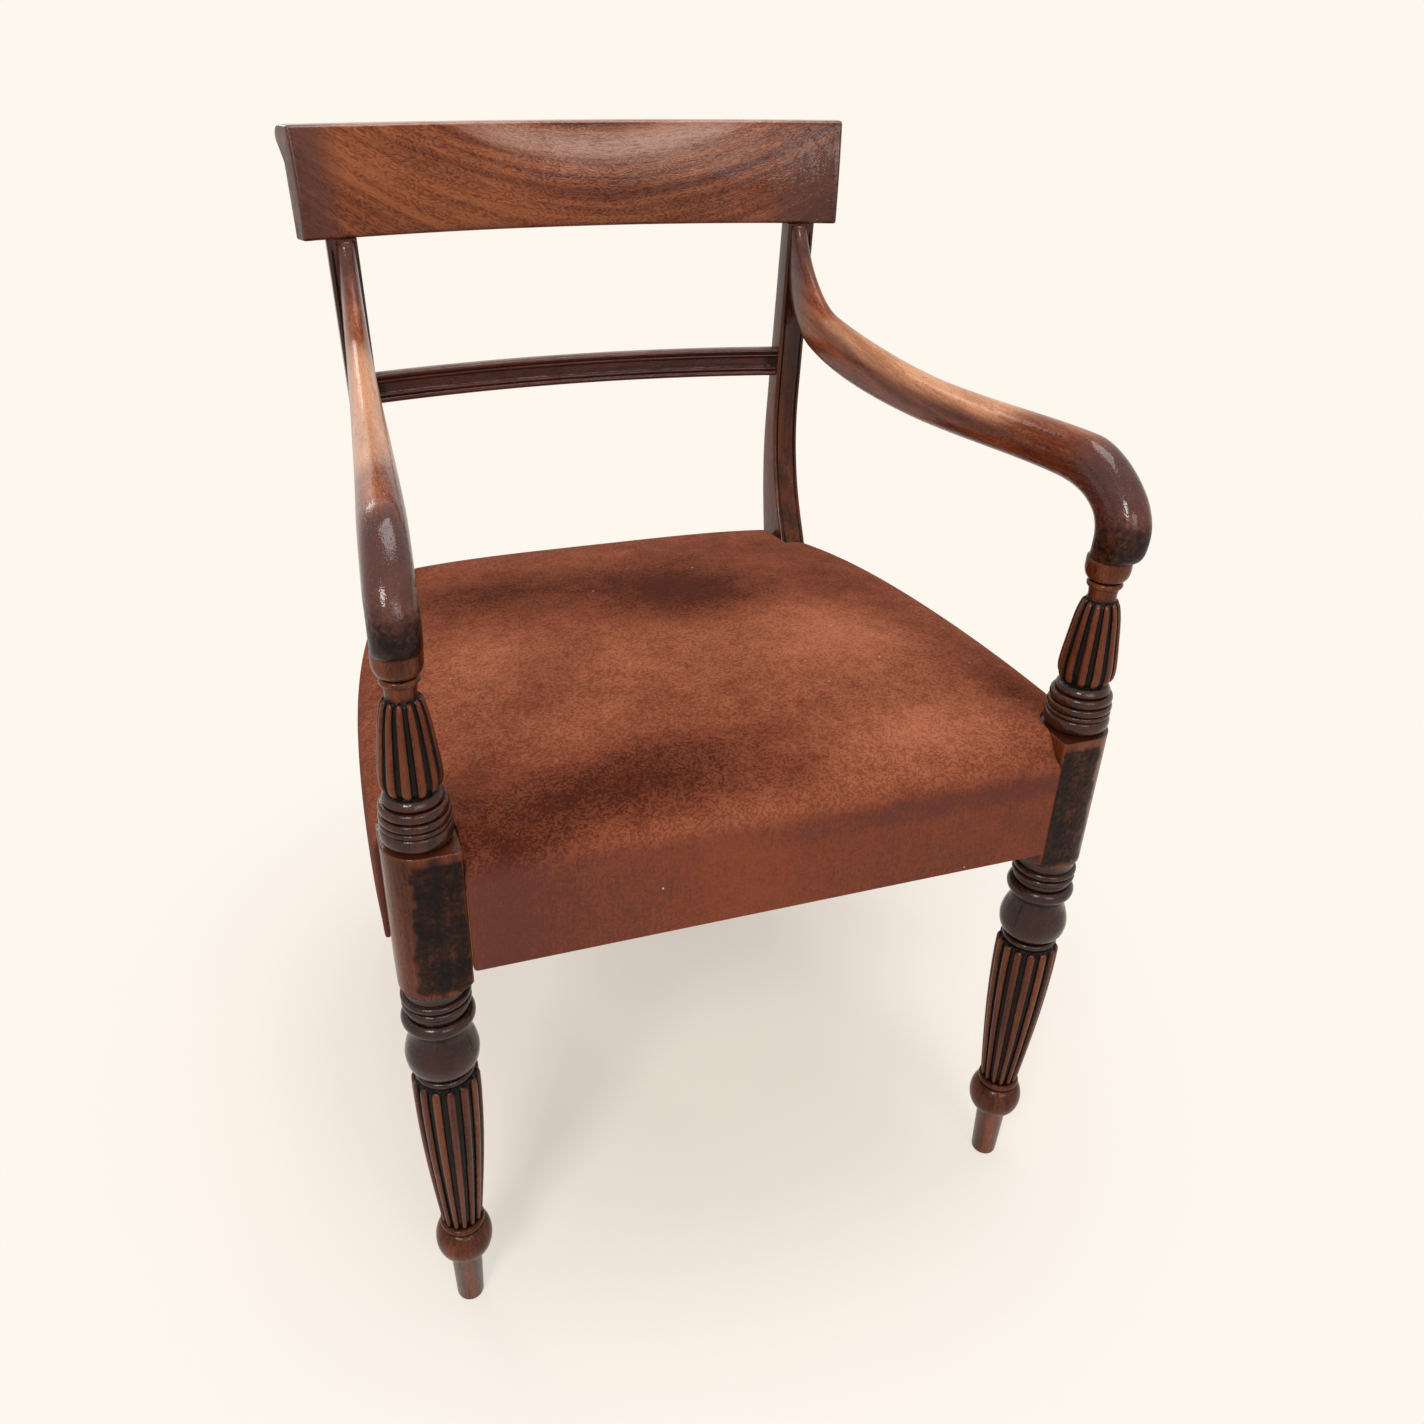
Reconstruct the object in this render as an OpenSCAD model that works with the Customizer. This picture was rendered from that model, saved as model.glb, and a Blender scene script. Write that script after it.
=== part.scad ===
// Mahogany open armchair with a stuffed velvet seat.
// Millimetres, +Z up, the front of the chair faces -Y, and +X is its right side seen from the front.
// Working heights are above the floor, and working depths are behind the axes of the front legs.

/* [Chair] */
// Height of the top of the crest rail
total_h = 860; // [830:1:900]
// Distance between the axes of the two front legs
leg_spacing = 497.5; // [480:1:530]
// Depth from the front legs' axes to the front faces of the back posts
back_run = 501.5; // [485:0.5:525]

/* [Front legs] */
// Height of the tapered peg foot
foot_h = 59; // [50:0.5:65]
// Radius of the peg foot at the floor
foot_r = 11; // [9:0.1:13]
// Radius of the peg foot where it meets the ankle
foot_top_r = 12.8; // [12:0.1:15]
// Height of the ankle bulb
ankle_h = 33; // [28:0.5:38]
// Radius of the ankle bulb
ankle_r = 22.8; // [21:0.1:26]
// Height of the ring over the ankle bulb
ring_h = 7; // [5:0.5:9]
// Radius of the ring over the ankle bulb
ring_r = 17.8; // [17.5:0.1:20]
// Height of the reeded shaft
shaft_h = 163; // [150:1:175]
// Largest radius of the reeded shaft
shaft_r = 25.6; // [25:0.1:27]
// Radius of the reeded shaft at its foot
shaft_foot_r = 16.2; // [16:0.1:16.6]
// Number of reeds round the shaft
shaft_reeds = 14; // [10:1:16]
// Depth of the hollows between the shaft's reeds
shaft_reed_depth = 3.2; // [1.5:0.1:4]
// Height of the vase over the shaft
vase_h = 44; // [40:0.5:48]
// Largest radius of the vase
vase_r = 27.1; // [26:0.1:29]
// Height of the large ring over the vase
torus_h = 13; // [11:0.5:16]
// Radius of the large ring
torus_r = 26.6; // [25.5:0.1:28]
// Height of the ringed throat under the square block
throat_h = 28; // [25:0.5:32]
// Side of the square block
block_w = 50; // [46:0.5:54]
// Height of the square block
block_h = 118; // [110:1:128]
// Height of the disc and beads over the block
base_h = 39.5; // [38.5:0.5:44]
// Radius of the disc over the block
base_r = 24.8; // [24:0.1:27]
// Height of the reeded baluster
baluster_h = 65.5; // [58:0.5:74]
// Largest radius of the reeded baluster
baluster_r = 20.8; // [20:0.1:24]
// Number of reeds round the baluster
baluster_reeds = 12; // [8:1:14]
// Depth of the hollows between the baluster's reeds
baluster_reed_depth = 2.3; // [1:0.1:3]
// Radius of the cup under the arm
cup_r = 15.9; // [15:0.1:18]
// Height of the neck, collar and cup over the baluster
cup_h = 32; // [28:0.5:36]
// Radius of the round spigot that enters the arm
spigot_r = 6; // [4:0.1:7]
// Length of the round spigot
spigot_h = 22; // [15:0.5:25]

/* [Back posts] */
// Width of a post across the chair
post_w = 27; // [24:0.5:30]
// How far the posts' inner faces at the seat stand in from the front legs' axes
post_in_set = 48.75; // [44:0.25:54]
// Outward lean of each post between the seat and the crest rail
post_splay = 8.5; // [5:0.5:12]
// Depth of a post from front to back under the crest rail
post_top_d = 21.5; // [20:0.5:23]
// How far the knee of a post stands forward of its front face
knee_reach = 64.5; // [58:0.5:70]
// Depth of a post at its knee
knee_d = 52; // [48:0.5:58]
// How far the rear foot stands behind the post's front face
rear_foot_reach = 20.5; // [0:0.5:26]
// Depth of the rear foot
rear_foot_d = 26; // [22:0.5:30]
// Width of the grooves along a post's front face
groove_w = 1.6; // [1:0.1:2.4]
// Depth of the grooves along a post's front face
groove_d = 1.2; // [0.6:0.1:2]
// Distance from a post's edge to its groove
groove_in = 3.4; // [2.5:0.1:5]

/* [Crest rail] */
// Height of the crest rail
crest_h = 90.4; // [80:0.2:100]
// Radius of the crest rail's hollow front at its lower edge
crest_r = 780; // [740:5:820]
// How far each end of the crest rail reaches past the inner face of its post at the seat
crest_reach = 54; // [50:0.5:62]
// How far the crest rail's lower front edge lies behind the posts' front faces, at the middle of a post
crest_set = 1.1406; // [0.5:0.0001:2]
// Thickness of the crest rail's board
crest_t = 18.5; // [17.5:0.5:21]
// How far the top of the crest rail leans back
crest_lean = 8.3; // [4:0.1:12]
// Swell of the crest rail's front face
crest_swell = 3.5; // [1:0.1:5]
// Radius of the rolled bead along the back of the crest rail
roll_r = 9; // [7:0.1:10]

/* [Middle rail] */
// Height of the middle rail's top
mid_top_z = 648.5; // [630:0.5:665]
// Height of the middle rail from edge to edge
mid_h = 27.5; // [26:0.5:34]
// Thickness of the middle rail
mid_t = 13.5; // [12:0.5:15]
// Radius of the middle rail's hollow front
mid_r = 900; // [850:5:1000]
// How far the middle rail's front lies behind the posts' front faces
mid_set = 5.5; // [4.5:0.1:6]
// Radius of the beads along the middle rail's edges
mid_bead_r = 2.6; // [1.5:0.1:3]

/* [Arms] */
// Half width of an arm at its tip under the crest rail
arm_tip_w = 8.2; // [7:0.1:9.5]
// Half width of an arm halfway along
arm_mid_w = 13.8; // [12:0.1:15]
// Half width of an arm at its down-turned end
arm_end_w = 15.7; // [15:0.1:17.5]
// How far the down-turned end stands forward of the leg's axis
arm_nose = 26.5; // [25:0.5:30]
// Radius of the screws that hold the arms to the posts
arm_screw_r = 2.4; // [2:0.1:3]
// Length of the screws that hold the arms to the posts
arm_screw_l = 30; // [26:0.5:32]

/* [Seat frame] */
// Height of the underside of the seat rails
rail_bottom_z = 376; // [372:0.5:380]
// Height of the seat rails from edge to edge
rail_h = 65; // [60:0.5:70]
// Thickness of the seat rails
rail_t = 26; // [22:0.5:28]
// How far the seat's sides stand out past the front legs' axes
seat_stand = 28.75; // [28.5:0.25:34]
// How far the curve of the seat's sides draws in by its end
seat_draw = 277.5; // [250:0.5:300]
// How far behind the posts' front faces the curve of the seat's sides ends
seat_curve_past = 48.5; // [40:0.5:80]
// Thickness of the tenons
tenon_t = 12; // [9:0.5:13]
// Length of the seat rails' tenons
tenon_l = 15; // [10:0.5:18]
// Height of the corner blocks
corner_h = 40; // [30:0.5:44]
// Radius of the corner blocks' screws
screw_r = 2.2; // [1.6:0.1:2.6]
// Length of the corner blocks' screws
screw_l = 44; // [40:0.5:46]

/* [Upholstery] */
// Width of the webbing
web_w = 50; // [40:1:54]
// Thickness of the webbing
web_t = 1.2; // [0.8:0.1:1.4]
// Pitch of the webbing strips
web_pitch = 75; // [70:1:78]
// Thickness of the hessian
hessian_t = 1; // [0.6:0.1:1.4]
// Thickness of the velvet cover with its lining
cover_t = 1.8; // [1.2:0.1:2]
// Height that the cover's rolled edge rises above its straight sides
edge_rise = 16; // [12:0.5:20]
// Height that the seat's crown rises above its rolled edge
crown_rise = 20; // [14:0.5:26]
// Fall of the seat's top towards its back corners
corner_fall = 18; // [0:1:24]
// Swell of the cover's upright sides
cover_swell = 1.5; // [0.5:0.1:2]
// Width of the cover turned under the rails
turn_under = 14; // [10:0.5:18]
// Radius of the tack heads
tack_r = 3.4; // [2.5:0.1:4]
// Height of the tack heads
tack_h = 1.1; // [0.7:0.1:1.5]

/* [Fits] */
// Clearance round tenons, spigots and screws
joint_gap = 0.2; // [0.1:0.05:0.4]
// Clearance between soft pieces and their neighbours
soft_gap = 0.5; // [0.3:0.1:0.8]

/* [Hidden] */
$fn = 96;
arc_fn = 360;
over = 30;
mahogany = [0.33, 0.14, 0.08];
dark_mahogany = [0.22, 0.09, 0.06];
beech = [0.72, 0.56, 0.38];
velvet = [0.42, 0.17, 0.12];
linen = [0.78, 0.70, 0.56];
jute = [0.66, 0.54, 0.36];
iron = [0.35, 0.35, 0.36];

leg_x = leg_spacing / 2;
post_gap = leg_spacing - 2 * post_in_set;
seat_half_w = leg_x + seat_stand;
ring_z = foot_h + ankle_h;
shaft_z = ring_z + ring_h;
shaft_top_z = shaft_z + shaft_h;
neck_h = 8;
vase_z = shaft_top_z + neck_h;
torus_z = vase_z + vase_h;
throat_z = torus_z + torus_h;
block_z = throat_z + throat_h;
block_top_z = block_z + block_h;
baluster_z = block_top_z + base_h;
baluster_top_z = baluster_z + baluster_h;
cup_top_z = baluster_top_z + cup_h;

front_tenon_y = -17;
side_tenon_in = 12;

crest_z = total_h - crest_h;
crest_tenon_x = post_gap / 2 + post_splay + post_w / 2;
crest_cy = back_run + crest_set - sqrt(crest_r * crest_r - crest_tenon_x * crest_tenon_x);
crest_half_angle = asin((post_gap / 2 + crest_reach) / crest_r);
roll_cy_r = crest_r + crest_lean + crest_t + 1.7;
back_y = crest_cy + roll_cy_r + roll_r;

rail_top_z = rail_bottom_z + rail_h;
tenon_low_z = rail_bottom_z + 10;
tenon_h = rail_h - 20;
side_curve_y = 70;
seat_taper_run = back_run + seat_curve_past - side_curve_y;
cover_stand = 2.5;
cover_front_y = -block_w / 2 - cover_stand;
cover_back_y = back_run - 9.5;
back_rail_y = cover_back_y - cover_t - soft_gap - rail_t;
notch_x = leg_x - base_r - soft_gap;
notch_y = base_r + soft_gap;
knee_y = back_run - knee_reach;
post_notch_x = post_gap / 2 - soft_gap;
side_end_y = knee_y - soft_gap;
web_z = rail_top_z;
hessian_z = web_z + 2 * web_t + 2 * joint_gap + tack_h;
stuffing_z = hessian_z + hessian_t + joint_gap;
side_top_z = rail_top_z + 11;
crown_y = (cover_front_y + cover_back_y) / 2;
hem_z = rail_bottom_z - cover_t - joint_gap;
arm_x_run = leg_x - (post_gap / 2 + post_splay + post_w / 2 - 2.5);

// A point on a cubic curve with the four control points c, at t from 0 to 1.
function bezier(c, t) =
    pow(1 - t, 3) * c[0] + 3 * t * pow(1 - t, 2) * c[1] + 3 * t * t * (1 - t) * c[2] + pow(t, 3) * c[3];

// The points of a cubic curve in n steps, without its last point.
function curve(c, n) = [for (i = [0:n - 1]) bezier(c, i / n)];

// A half-round bead in a lathe outline, from height z0 to z1, standing out from radius r0 to r1.
function bead(z0, z1, r0, r1, n = 10) =
    [for (i = [0:n]) [r0 + (r1 - r0) * sin(180 * i / n), (z0 + z1) / 2 - (z1 - z0) / 2 * cos(180 * i / n)]];

// Triangles that join m rings of n points, each ring counter-clockwise seen from the last ring.
function side_faces(n, m) = [
    for (k = [0:m - 2], i = [0:n - 1], half = [0, 1])
        let (a = k * n + i, b = k * n + (i + 1) % n)
        half == 0 ? [a, a + n, b + n] : [a, b + n, b]
];
function first_cap(n) = [[for (i = [0:n - 1]) i]];
function last_cap(n, m) = [[for (i = [n - 1:-1:0]) (m - 1) * n + i]];
function flat(lists) = [for (a = lists, b = a) b];

// A solid through a list of rings.
module loft(rings) {
    n = len(rings[0]);
    m = len(rings);
    polyhedron(flat(rings), concat(side_faces(n, m), first_cap(n), last_cap(n, m)), convexity = 8);
}

// Radius of a reeded surface at share p of one reed's width, for outer radius r.
function reed_r(r, depth, p) = r - depth * (1 - sqrt(1 - pow(2 * p - 1, 2)));

// A reeded turning: profile is a list of [height, outer radius].
module reeded(profile, reeds, depth) {
    shares = [0, 0.14, 0.32, 0.5, 0.68, 0.86];
    loft([
        for (s = profile) [
            for (k = [0:reeds - 1], p = shares)
                let (a = 360 * (k + p) / reeds, r = reed_r(s[1], depth, p))
                [r * cos(a), r * sin(a), s[0]]
        ]
    ]);
}

module mirrored_x() {
    mirror([1, 0, 0]) children();
}

// A shape drawn with depth along X and height along Y becomes a slab from x0, w thick.
module slab_x(x0, w) {
    translate([x0, 0, 0]) rotate([90, 0, 90]) linear_extrude(w) children();
}

// A shape drawn with X along X and height along Y becomes a slab from y0, d deep.
module slab_y(y0, d) {
    translate([0, y0 + d, 0]) rotate([90, 0, 0]) linear_extrude(d) children();
}

module foot_and_ankle() {
    rotate_extrude() polygon(concat(
        [[0, 0], [foot_r - 2.5, 0], [foot_r - 0.8, 0.8], [foot_r, 2.6], [foot_top_r, foot_h]],
        bead(foot_h, ring_z, foot_top_r + 1, ankle_r, 16),
        [[ring_r - 1.2, ring_z]],
        bead(ring_z + 0.6, shaft_z - 1, ring_r - 1.2, ring_r, 8),
        [[shaft_foot_r + 0.6, shaft_z], [0, shaft_z]]
    ));
}

// Reeded parts are sunk this far into the turned parts over and under them.
reed_sink = 0.6;

module reeded_shaft() {
    grow = shaft_r - shaft_foot_r;
    reeded([
        [shaft_z - reed_sink, shaft_foot_r - 0.3],
        [shaft_z + 0.012 * shaft_h, shaft_foot_r],
        for (t = [0.08, 0.2, 0.34, 0.5, 0.66, 0.8, 0.9]) [shaft_z + t * shaft_h, shaft_foot_r + grow * sin(95 * t)],
        [shaft_z + 0.945 * shaft_h, shaft_r - 0.1],
        [shaft_top_z - 4, shaft_r - 1.1],
        [shaft_top_z - 1.2, shaft_r - 3],
        [shaft_top_z, shaft_r - 5.4]
    ], shaft_reeds, shaft_reed_depth);
}

// The vase from its foot up: share of its height, and how far its side stands in from vase_r.
vase_shape = [
    [0, 7.5], [0.045, 6.3], [0.07, 4.4], [0.115, 2.5], [0.18, 1.1], [0.27, 0.3], [0.385, 0],
    [0.5, 0.8], [0.59, 1.9], [0.68, 3.3], [0.75, 4.5], [0.84, 5.5], [0.93, 5.9], [0.99, 5.7]
];

module vase_to_block() {
    seat_r = shaft_r - 3.6;
    t = throat_z;
    rotate_extrude() polygon(concat(
        [[0, shaft_top_z - reed_sink], [seat_r, shaft_top_z - reed_sink], [seat_r, shaft_top_z + 0.5]],
        bead(shaft_top_z + 1.5, vase_z - 1, shaft_r - 6.4, shaft_r - 3.6, 8),
        [for (s = vase_shape) [vase_r - s[1], vase_z + s[0] * vase_h]],
        bead(torus_z + 0.5, t - 0.5, torus_r - 5, torus_r, 12),
        [[torus_r - 3.9, t + 1], [torus_r - 3.6, t + 4.6]],
        bead(t + 5.4, t + 10.6, torus_r - 3.8, torus_r - 1.8, 6),
        bead(t + 12, t + 17.5, torus_r - 3.8, torus_r - 1.6, 6),
        [[torus_r - 4, t + 18.8], [torus_r - 3.8, t + 23], [torus_r - 2.2, block_z], [0, block_z]]
    ));
}

// The square block, with its outer front corner rounded to the turned part above it.
module leg_block(side) {
    half = block_w / 2;
    intersection() {
        translate([0, 0, block_z]) linear_extrude(block_h) union() {
            circle(half);
            translate([-half, 0]) square([block_w, half]);
            translate([side > 0 ? -half : 0, -half]) square([half, block_w]);
        }
        rotate_extrude() polygon([
            [0, block_z], [half + 1.5, block_z], [half + 5, block_z + 2.5], [half * 1.5, block_z + 12],
            [half * 1.5, block_top_z], [0, block_top_z]
        ]);
    }
}

module base_beads() {
    z = block_top_z;
    r = base_r;
    rotate_extrude() polygon(concat(
        [[0, z - 1], [r - 6, z - 1], [r - 5.2, z], [r - 2.6, z + 1.6], [r - 1.2, z + 3.2], [r - 0.3, z + 5.5]],
        [[r, z + 8], [r - 0.3, z + 10.5], [r - 1.9, z + 13]],
        bead(z + 13.4, z + 17, r - 1.8, r - 0.6, 6),
        bead(z + 17.6, z + 23.4, r - 2.2, r - 0.5, 6),
        bead(z + 24, z + 31.2, r - 3.4, r - 1.2, 8),
        [[r - 5, z + 31.5], [r - 4, z + 33.6], [r - 4.4, z + 35], [r - 5.5, z + 36.8], [r - 7, z + 38]],
        [[r - 9, z + base_h], [0, z + base_h]]
    ));
}

baluster_top_share = 0.62;

module reeded_baluster() {
    z = baluster_z;
    r = baluster_r;
    top_r = r * baluster_top_share;
    reeded([
        [z - reed_sink, r - 6.8],
        [z + 1.2, r - 3.4],
        [z + 4, r - 1.2],
        [z + 7, r - 0.3],
        [z + 0.16 * baluster_h, r - 0.1],
        for (s = [[0.28, 0.94], [0.44, 0.78], [0.6, 0.62], [0.76, 0.45], [0.89, 0.22]])
            [z + s[0] * baluster_h, top_r + (r - top_r) * s[1]],
        [z + 0.96 * baluster_h, top_r],
        [z + baluster_h, top_r - 2]
    ], baluster_reeds, baluster_reed_depth);
}

module neck_collar_cup() {
    z = baluster_top_z;
    r = cup_r;
    cup_z = z + 15.6;
    seat_r = baluster_r * baluster_top_share - 1;
    rotate_extrude() polygon(concat(
        [[0, z - reed_sink], [seat_r, z - reed_sink], [seat_r, z + 0.6]],
        [[r - 5.6, z + 1.2], [r - 5.8, z + 5], [r - 5.4, z + 8.8]],
        bead(z + 9.2, z + 14.8, r - 5.4, r - 4, 8),
        [[r - 5, cup_z]],
        [for (a = [15:15:90]) [r - 4.5 + 4.5 * sin(a), cup_z + 9 * (1 - cos(a))]],
        [[r, cup_top_z - 3], [r - 0.6, cup_top_z], [0, cup_top_z]]
    ));
}

// The leg for side = 1, whose front rail comes in from -X.
module front_leg_shape(side) {
    spigot_top = cup_top_z + spigot_h;
    difference() {
        union() {
            foot_and_ankle();
            reeded_shaft();
            vase_to_block();
            leg_block(side);
            base_beads();
            reeded_baluster();
            neck_collar_cup();
            translate([0, 0, cup_top_z - 2]) cylinder(h = spigot_h + 2, r = spigot_r);
        }
        front_mortise(side);
        side_mortise(side);
    }
}

// The mortises are wider than the tenons by joint_gap all round.
module front_mortise(side) {
    depth = tenon_l + joint_gap;
    x0 = side > 0 ? -block_w / 2 - 1 : block_w / 2 - depth;
    translate([x0, front_tenon_y - joint_gap, tenon_low_z - joint_gap])
        cube([depth + 1, tenon_t + 2 * joint_gap, tenon_h + 2 * joint_gap]);
}

module side_mortise(side) {
    depth = tenon_l + joint_gap;
    x0 = side * side_tenon_in - tenon_t / 2;
    translate([x0 - joint_gap, block_w / 2 - depth, tenon_low_z - joint_gap])
        cube([tenon_t + 2 * joint_gap, depth + 1, tenon_h + 2 * joint_gap]);
}

module front_leg(side) {
    color(mahogany) translate([side * leg_x, 0, 0]) front_leg_shape(side);
}

// Half width of the seat at depth y, as the rails and the cover follow it.
function seat_half(y) =
    seat_half_w - seat_draw * (1 - pow(1 - pow(max(0, y - side_curve_y) / seat_taper_run, 2), 0.25));

// Back post: the front and back edges in the side view.
knee_z = rail_bottom_z + 36;
straight_z = rail_top_z + 160;
post_front = concat(
    curve([
        [back_run + rear_foot_reach, 0], [back_run - 4.5, 120], [knee_y, knee_z - 110], [knee_y, knee_z]
    ], 10),
    curve([[knee_y, knee_z], [knee_y, knee_z + 40], [back_run, knee_z + 80], [back_run, straight_z]], 10),
    [[back_run, straight_z], [back_run, crest_z]]
);
post_back_x = back_run + post_top_d;
post_back = concat(
    [[post_back_x, crest_z]],
    curve([
        [post_back_x + 3, straight_z - 25], [post_back_x + 4, knee_z + 70],
        [knee_y + knee_d, knee_z + 10], [knee_y + knee_d, knee_z - 60]
    ], 10),
    curve([
        [knee_y + knee_d, knee_z - 60], [knee_y + knee_d, knee_z - 160],
        [back_run + rear_foot_reach + 8, 110], [back_run + rear_foot_reach + rear_foot_d, 0]
    ], 10),
    [[back_run + rear_foot_reach + rear_foot_d, 0]]
);

// Distance of a post's inner face from the middle of the chair at height z.
function post_in(z) = post_gap / 2 + post_splay * max(0, z - rail_top_z) / (crest_z - rail_top_z);

// The post in the front view, drawn in by inset on both sides.
module post_front_view(inset) {
    polygon([
        [post_gap / 2 + inset, -1],
        [post_gap / 2 + post_w - inset, -1],
        [post_gap / 2 + post_w - inset, rail_top_z],
        [post_in(crest_z) + post_w - inset, crest_z],
        [post_in(crest_z) + inset, crest_z],
        [post_gap / 2 + inset, rail_top_z]
    ]);
}

crest_tenon_w = 17;
crest_tenon_t = 9;
crest_tenon_l = 30;
crest_tenon_y = crest_cy + sqrt(pow(crest_r + crest_t / 2 + 0.6, 2) - pow(crest_tenon_x, 2));
mid_tenon_l = 10;
mid_tenon_t = 7;
mid_tenon_h = mid_h - 12;
mid_z = mid_top_z - mid_h;
mid_end_x = post_in(mid_top_z - mid_h / 2);
mid_cy = back_run + mid_set - sqrt(mid_r * mid_r - mid_end_x * mid_end_x);
mid_tenon_y = back_run + mid_set + mid_t / 2;
back_tenon_y = back_rail_y + rail_t / 2;
post_tenon_x = post_gap / 2 + post_w / 2;
arm_screw_z = crest_z - 34;
arm_screw_head_r = arm_screw_r * 1.9;
arm_screw_head_h = 3;
plug_l = 6;

module crest_tenon(gap) {
    translate([crest_tenon_x - crest_tenon_w / 2 - gap, crest_tenon_y - crest_tenon_t / 2 - gap, crest_z - 1])
        cube([crest_tenon_w + 2 * gap, crest_tenon_t + 2 * gap, crest_tenon_l + 1 + gap]);
}

// The screw runs from the back of the post into the arm.
arm_screw_x = leg_x - arm_x_run;
arm_screw_back_y = post_back_x - 1.5 - plug_l - joint_gap;

module arm_screw_shape(gap) {
    translate([arm_screw_x, arm_screw_back_y, arm_screw_z]) rotate([90, 0, 0]) {
        cylinder(h = arm_screw_l + gap, r = arm_screw_r + gap);
        translate([0, 0, -gap]) cylinder(h = arm_screw_head_h + 2 * gap, r = arm_screw_head_r + gap);
    }
}

module back_post_shape() {
    w0 = post_gap / 2 - 5;
    wide = post_w + post_splay + 10;
    difference() {
        union() {
            intersection() {
                slab_x(w0, wide) polygon(concat(post_front, post_back));
                slab_y(knee_y - 5, knee_reach + rear_foot_reach + rear_foot_d + 40) post_front_view(0);
            }
            crest_tenon(0);
        }
        // Two fine grooves along the front face
        for (at = [groove_in, post_w - groove_in - groove_w])
            intersection() {
                slab_x(w0, wide) polygon(concat(
                    [for (p = post_front) if (p[1] > knee_z - 1) [p[0] - 3, p[1]]],
                    [for (i = [len(post_front) - 1:-1:0]) if (post_front[i][1] > knee_z - 1)
                        [post_front[i][0] + groove_d, post_front[i][1]]]
                ));
                slab_y(knee_y - 5, knee_reach + 20) polygon([
                    [post_gap / 2 + at, rail_top_z],
                    [post_gap / 2 + at + groove_w, rail_top_z],
                    [post_in(crest_z - 8) + at + groove_w, crest_z - 8],
                    [post_in(crest_z - 8) + at, crest_z - 8]
                ]);
            }
        // Mortises for the back rail, the side rail and the middle rail
        translate([post_gap / 2 - 1, back_tenon_y - tenon_t / 2 - joint_gap, tenon_low_z - joint_gap])
            cube([tenon_l + joint_gap + 1, tenon_t + 2 * joint_gap, tenon_h + 2 * joint_gap]);
        translate([post_tenon_x - tenon_t / 2 - joint_gap, knee_y - 5, tenon_low_z - joint_gap])
            cube([tenon_t + 2 * joint_gap, tenon_l + joint_gap + 5, tenon_h + 2 * joint_gap]);
        translate([mid_end_x - 5, mid_tenon_y - mid_tenon_t / 2 - joint_gap, mid_z + 6 - joint_gap])
            cube([mid_tenon_l + joint_gap + 5, mid_tenon_t + 2 * joint_gap, mid_tenon_h + 2 * joint_gap]);
        // Clearance hole and counterbore for the arm's screw and plug
        arm_screw_shape(joint_gap);
        translate([arm_screw_x, post_back_x + 10, arm_screw_z]) rotate([90, 0, 0])
            cylinder(h = 10 + 1.5 + plug_l + joint_gap, r = arm_screw_head_r + joint_gap);
    }
}

module back_post_right() {
    color(mahogany) back_post_shape();
}

module back_post_left() {
    color(mahogany) mirrored_x() back_post_shape();
}

// Crest rail: a board bent to the back's curve, with a rolled bead along the top of its back.
function crest_front(t) = crest_r + crest_lean * t - crest_swell * 4 * t * (1 - t);

module crest_rail() {
    bead_z = total_h - roll_r;
    color(mahogany) difference() {
        translate([0, crest_cy, 0]) rotate([0, 0, 90 - crest_half_angle])
            rotate_extrude(angle = 2 * crest_half_angle, $fn = arc_fn) polygon(concat(
                [[crest_r + crest_t, crest_z]],
                [[crest_r + crest_t + crest_lean * 0.78, bead_z - roll_r]],
                [for (a = [-75:15:90]) [roll_cy_r + roll_r * cos(a), bead_z + roll_r * sin(a)]],
                [[crest_front(1) + 2, total_h]],
                [for (i = [0:12]) let (t = 0.985 - 0.97 * i / 12) [crest_front(t), crest_z + crest_h * t]],
                [[crest_r + 1, crest_z]]
            ));
        crest_tenon(joint_gap);
        mirrored_x() crest_tenon(joint_gap);
    }
}

// Middle rail: a thin bent rail, beaded along both edges.
module mid_rail_profile() {
    b = mid_bead_r;
    face = mid_r + 2.4;
    low = mid_z;
    high = mid_top_z;
    polygon(concat(
        [[mid_r + mid_t, low], [mid_r + mid_t, high], [mid_r + b, high]],
        [for (a = [0:20:180]) [mid_r + b - b * sin(a), high - b + b * cos(a)]],
        [[face, high - 2 * b - 0.4]],
        [for (a = [0:30:180]) [face - 1.3 * sin(a), high - 2 * b - 1.9 + 1.5 * cos(a)]],
        [[face, high - 2 * b - 3.8], [face + 0.8, high - 2 * b - 4.6], [face + 0.8, low + 2 * b + 4.6]],
        [[face, low + 2 * b + 3.8]],
        [for (a = [0:30:180]) [face - 1.3 * sin(a), low + 2 * b + 1.9 + 1.5 * cos(a)]],
        [[face, low + 2 * b + 0.4]],
        [for (a = [0:20:180]) [mid_r + b - b * sin(a), low + b + b * cos(a)]],
        [[mid_r + b, low]]
    ));
}

module mid_rail() {
    half_angle = asin((mid_end_x + 20) / mid_r);
    color(dark_mahogany) union() {
        intersection() {
            translate([0, mid_cy, 0]) rotate([0, 0, 90 - half_angle])
                rotate_extrude(angle = 2 * half_angle, $fn = arc_fn) mid_rail_profile();
            slab_y(back_run - 20, 80) polygon([
                [-post_in(mid_z - 1), mid_z - 1], [post_in(mid_z - 1), mid_z - 1],
                [post_in(mid_top_z + 1), mid_top_z + 1], [-post_in(mid_top_z + 1), mid_top_z + 1]
            ]);
        }
        for (side = [-1, 1])
            translate([side * (mid_end_x - 4 + mid_tenon_l / 2 + 2), mid_tenon_y, mid_z + 6 + mid_tenon_h / 2])
                cube([mid_tenon_l + 4, mid_tenon_t, mid_tenon_h], center = true);
    }
}

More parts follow.
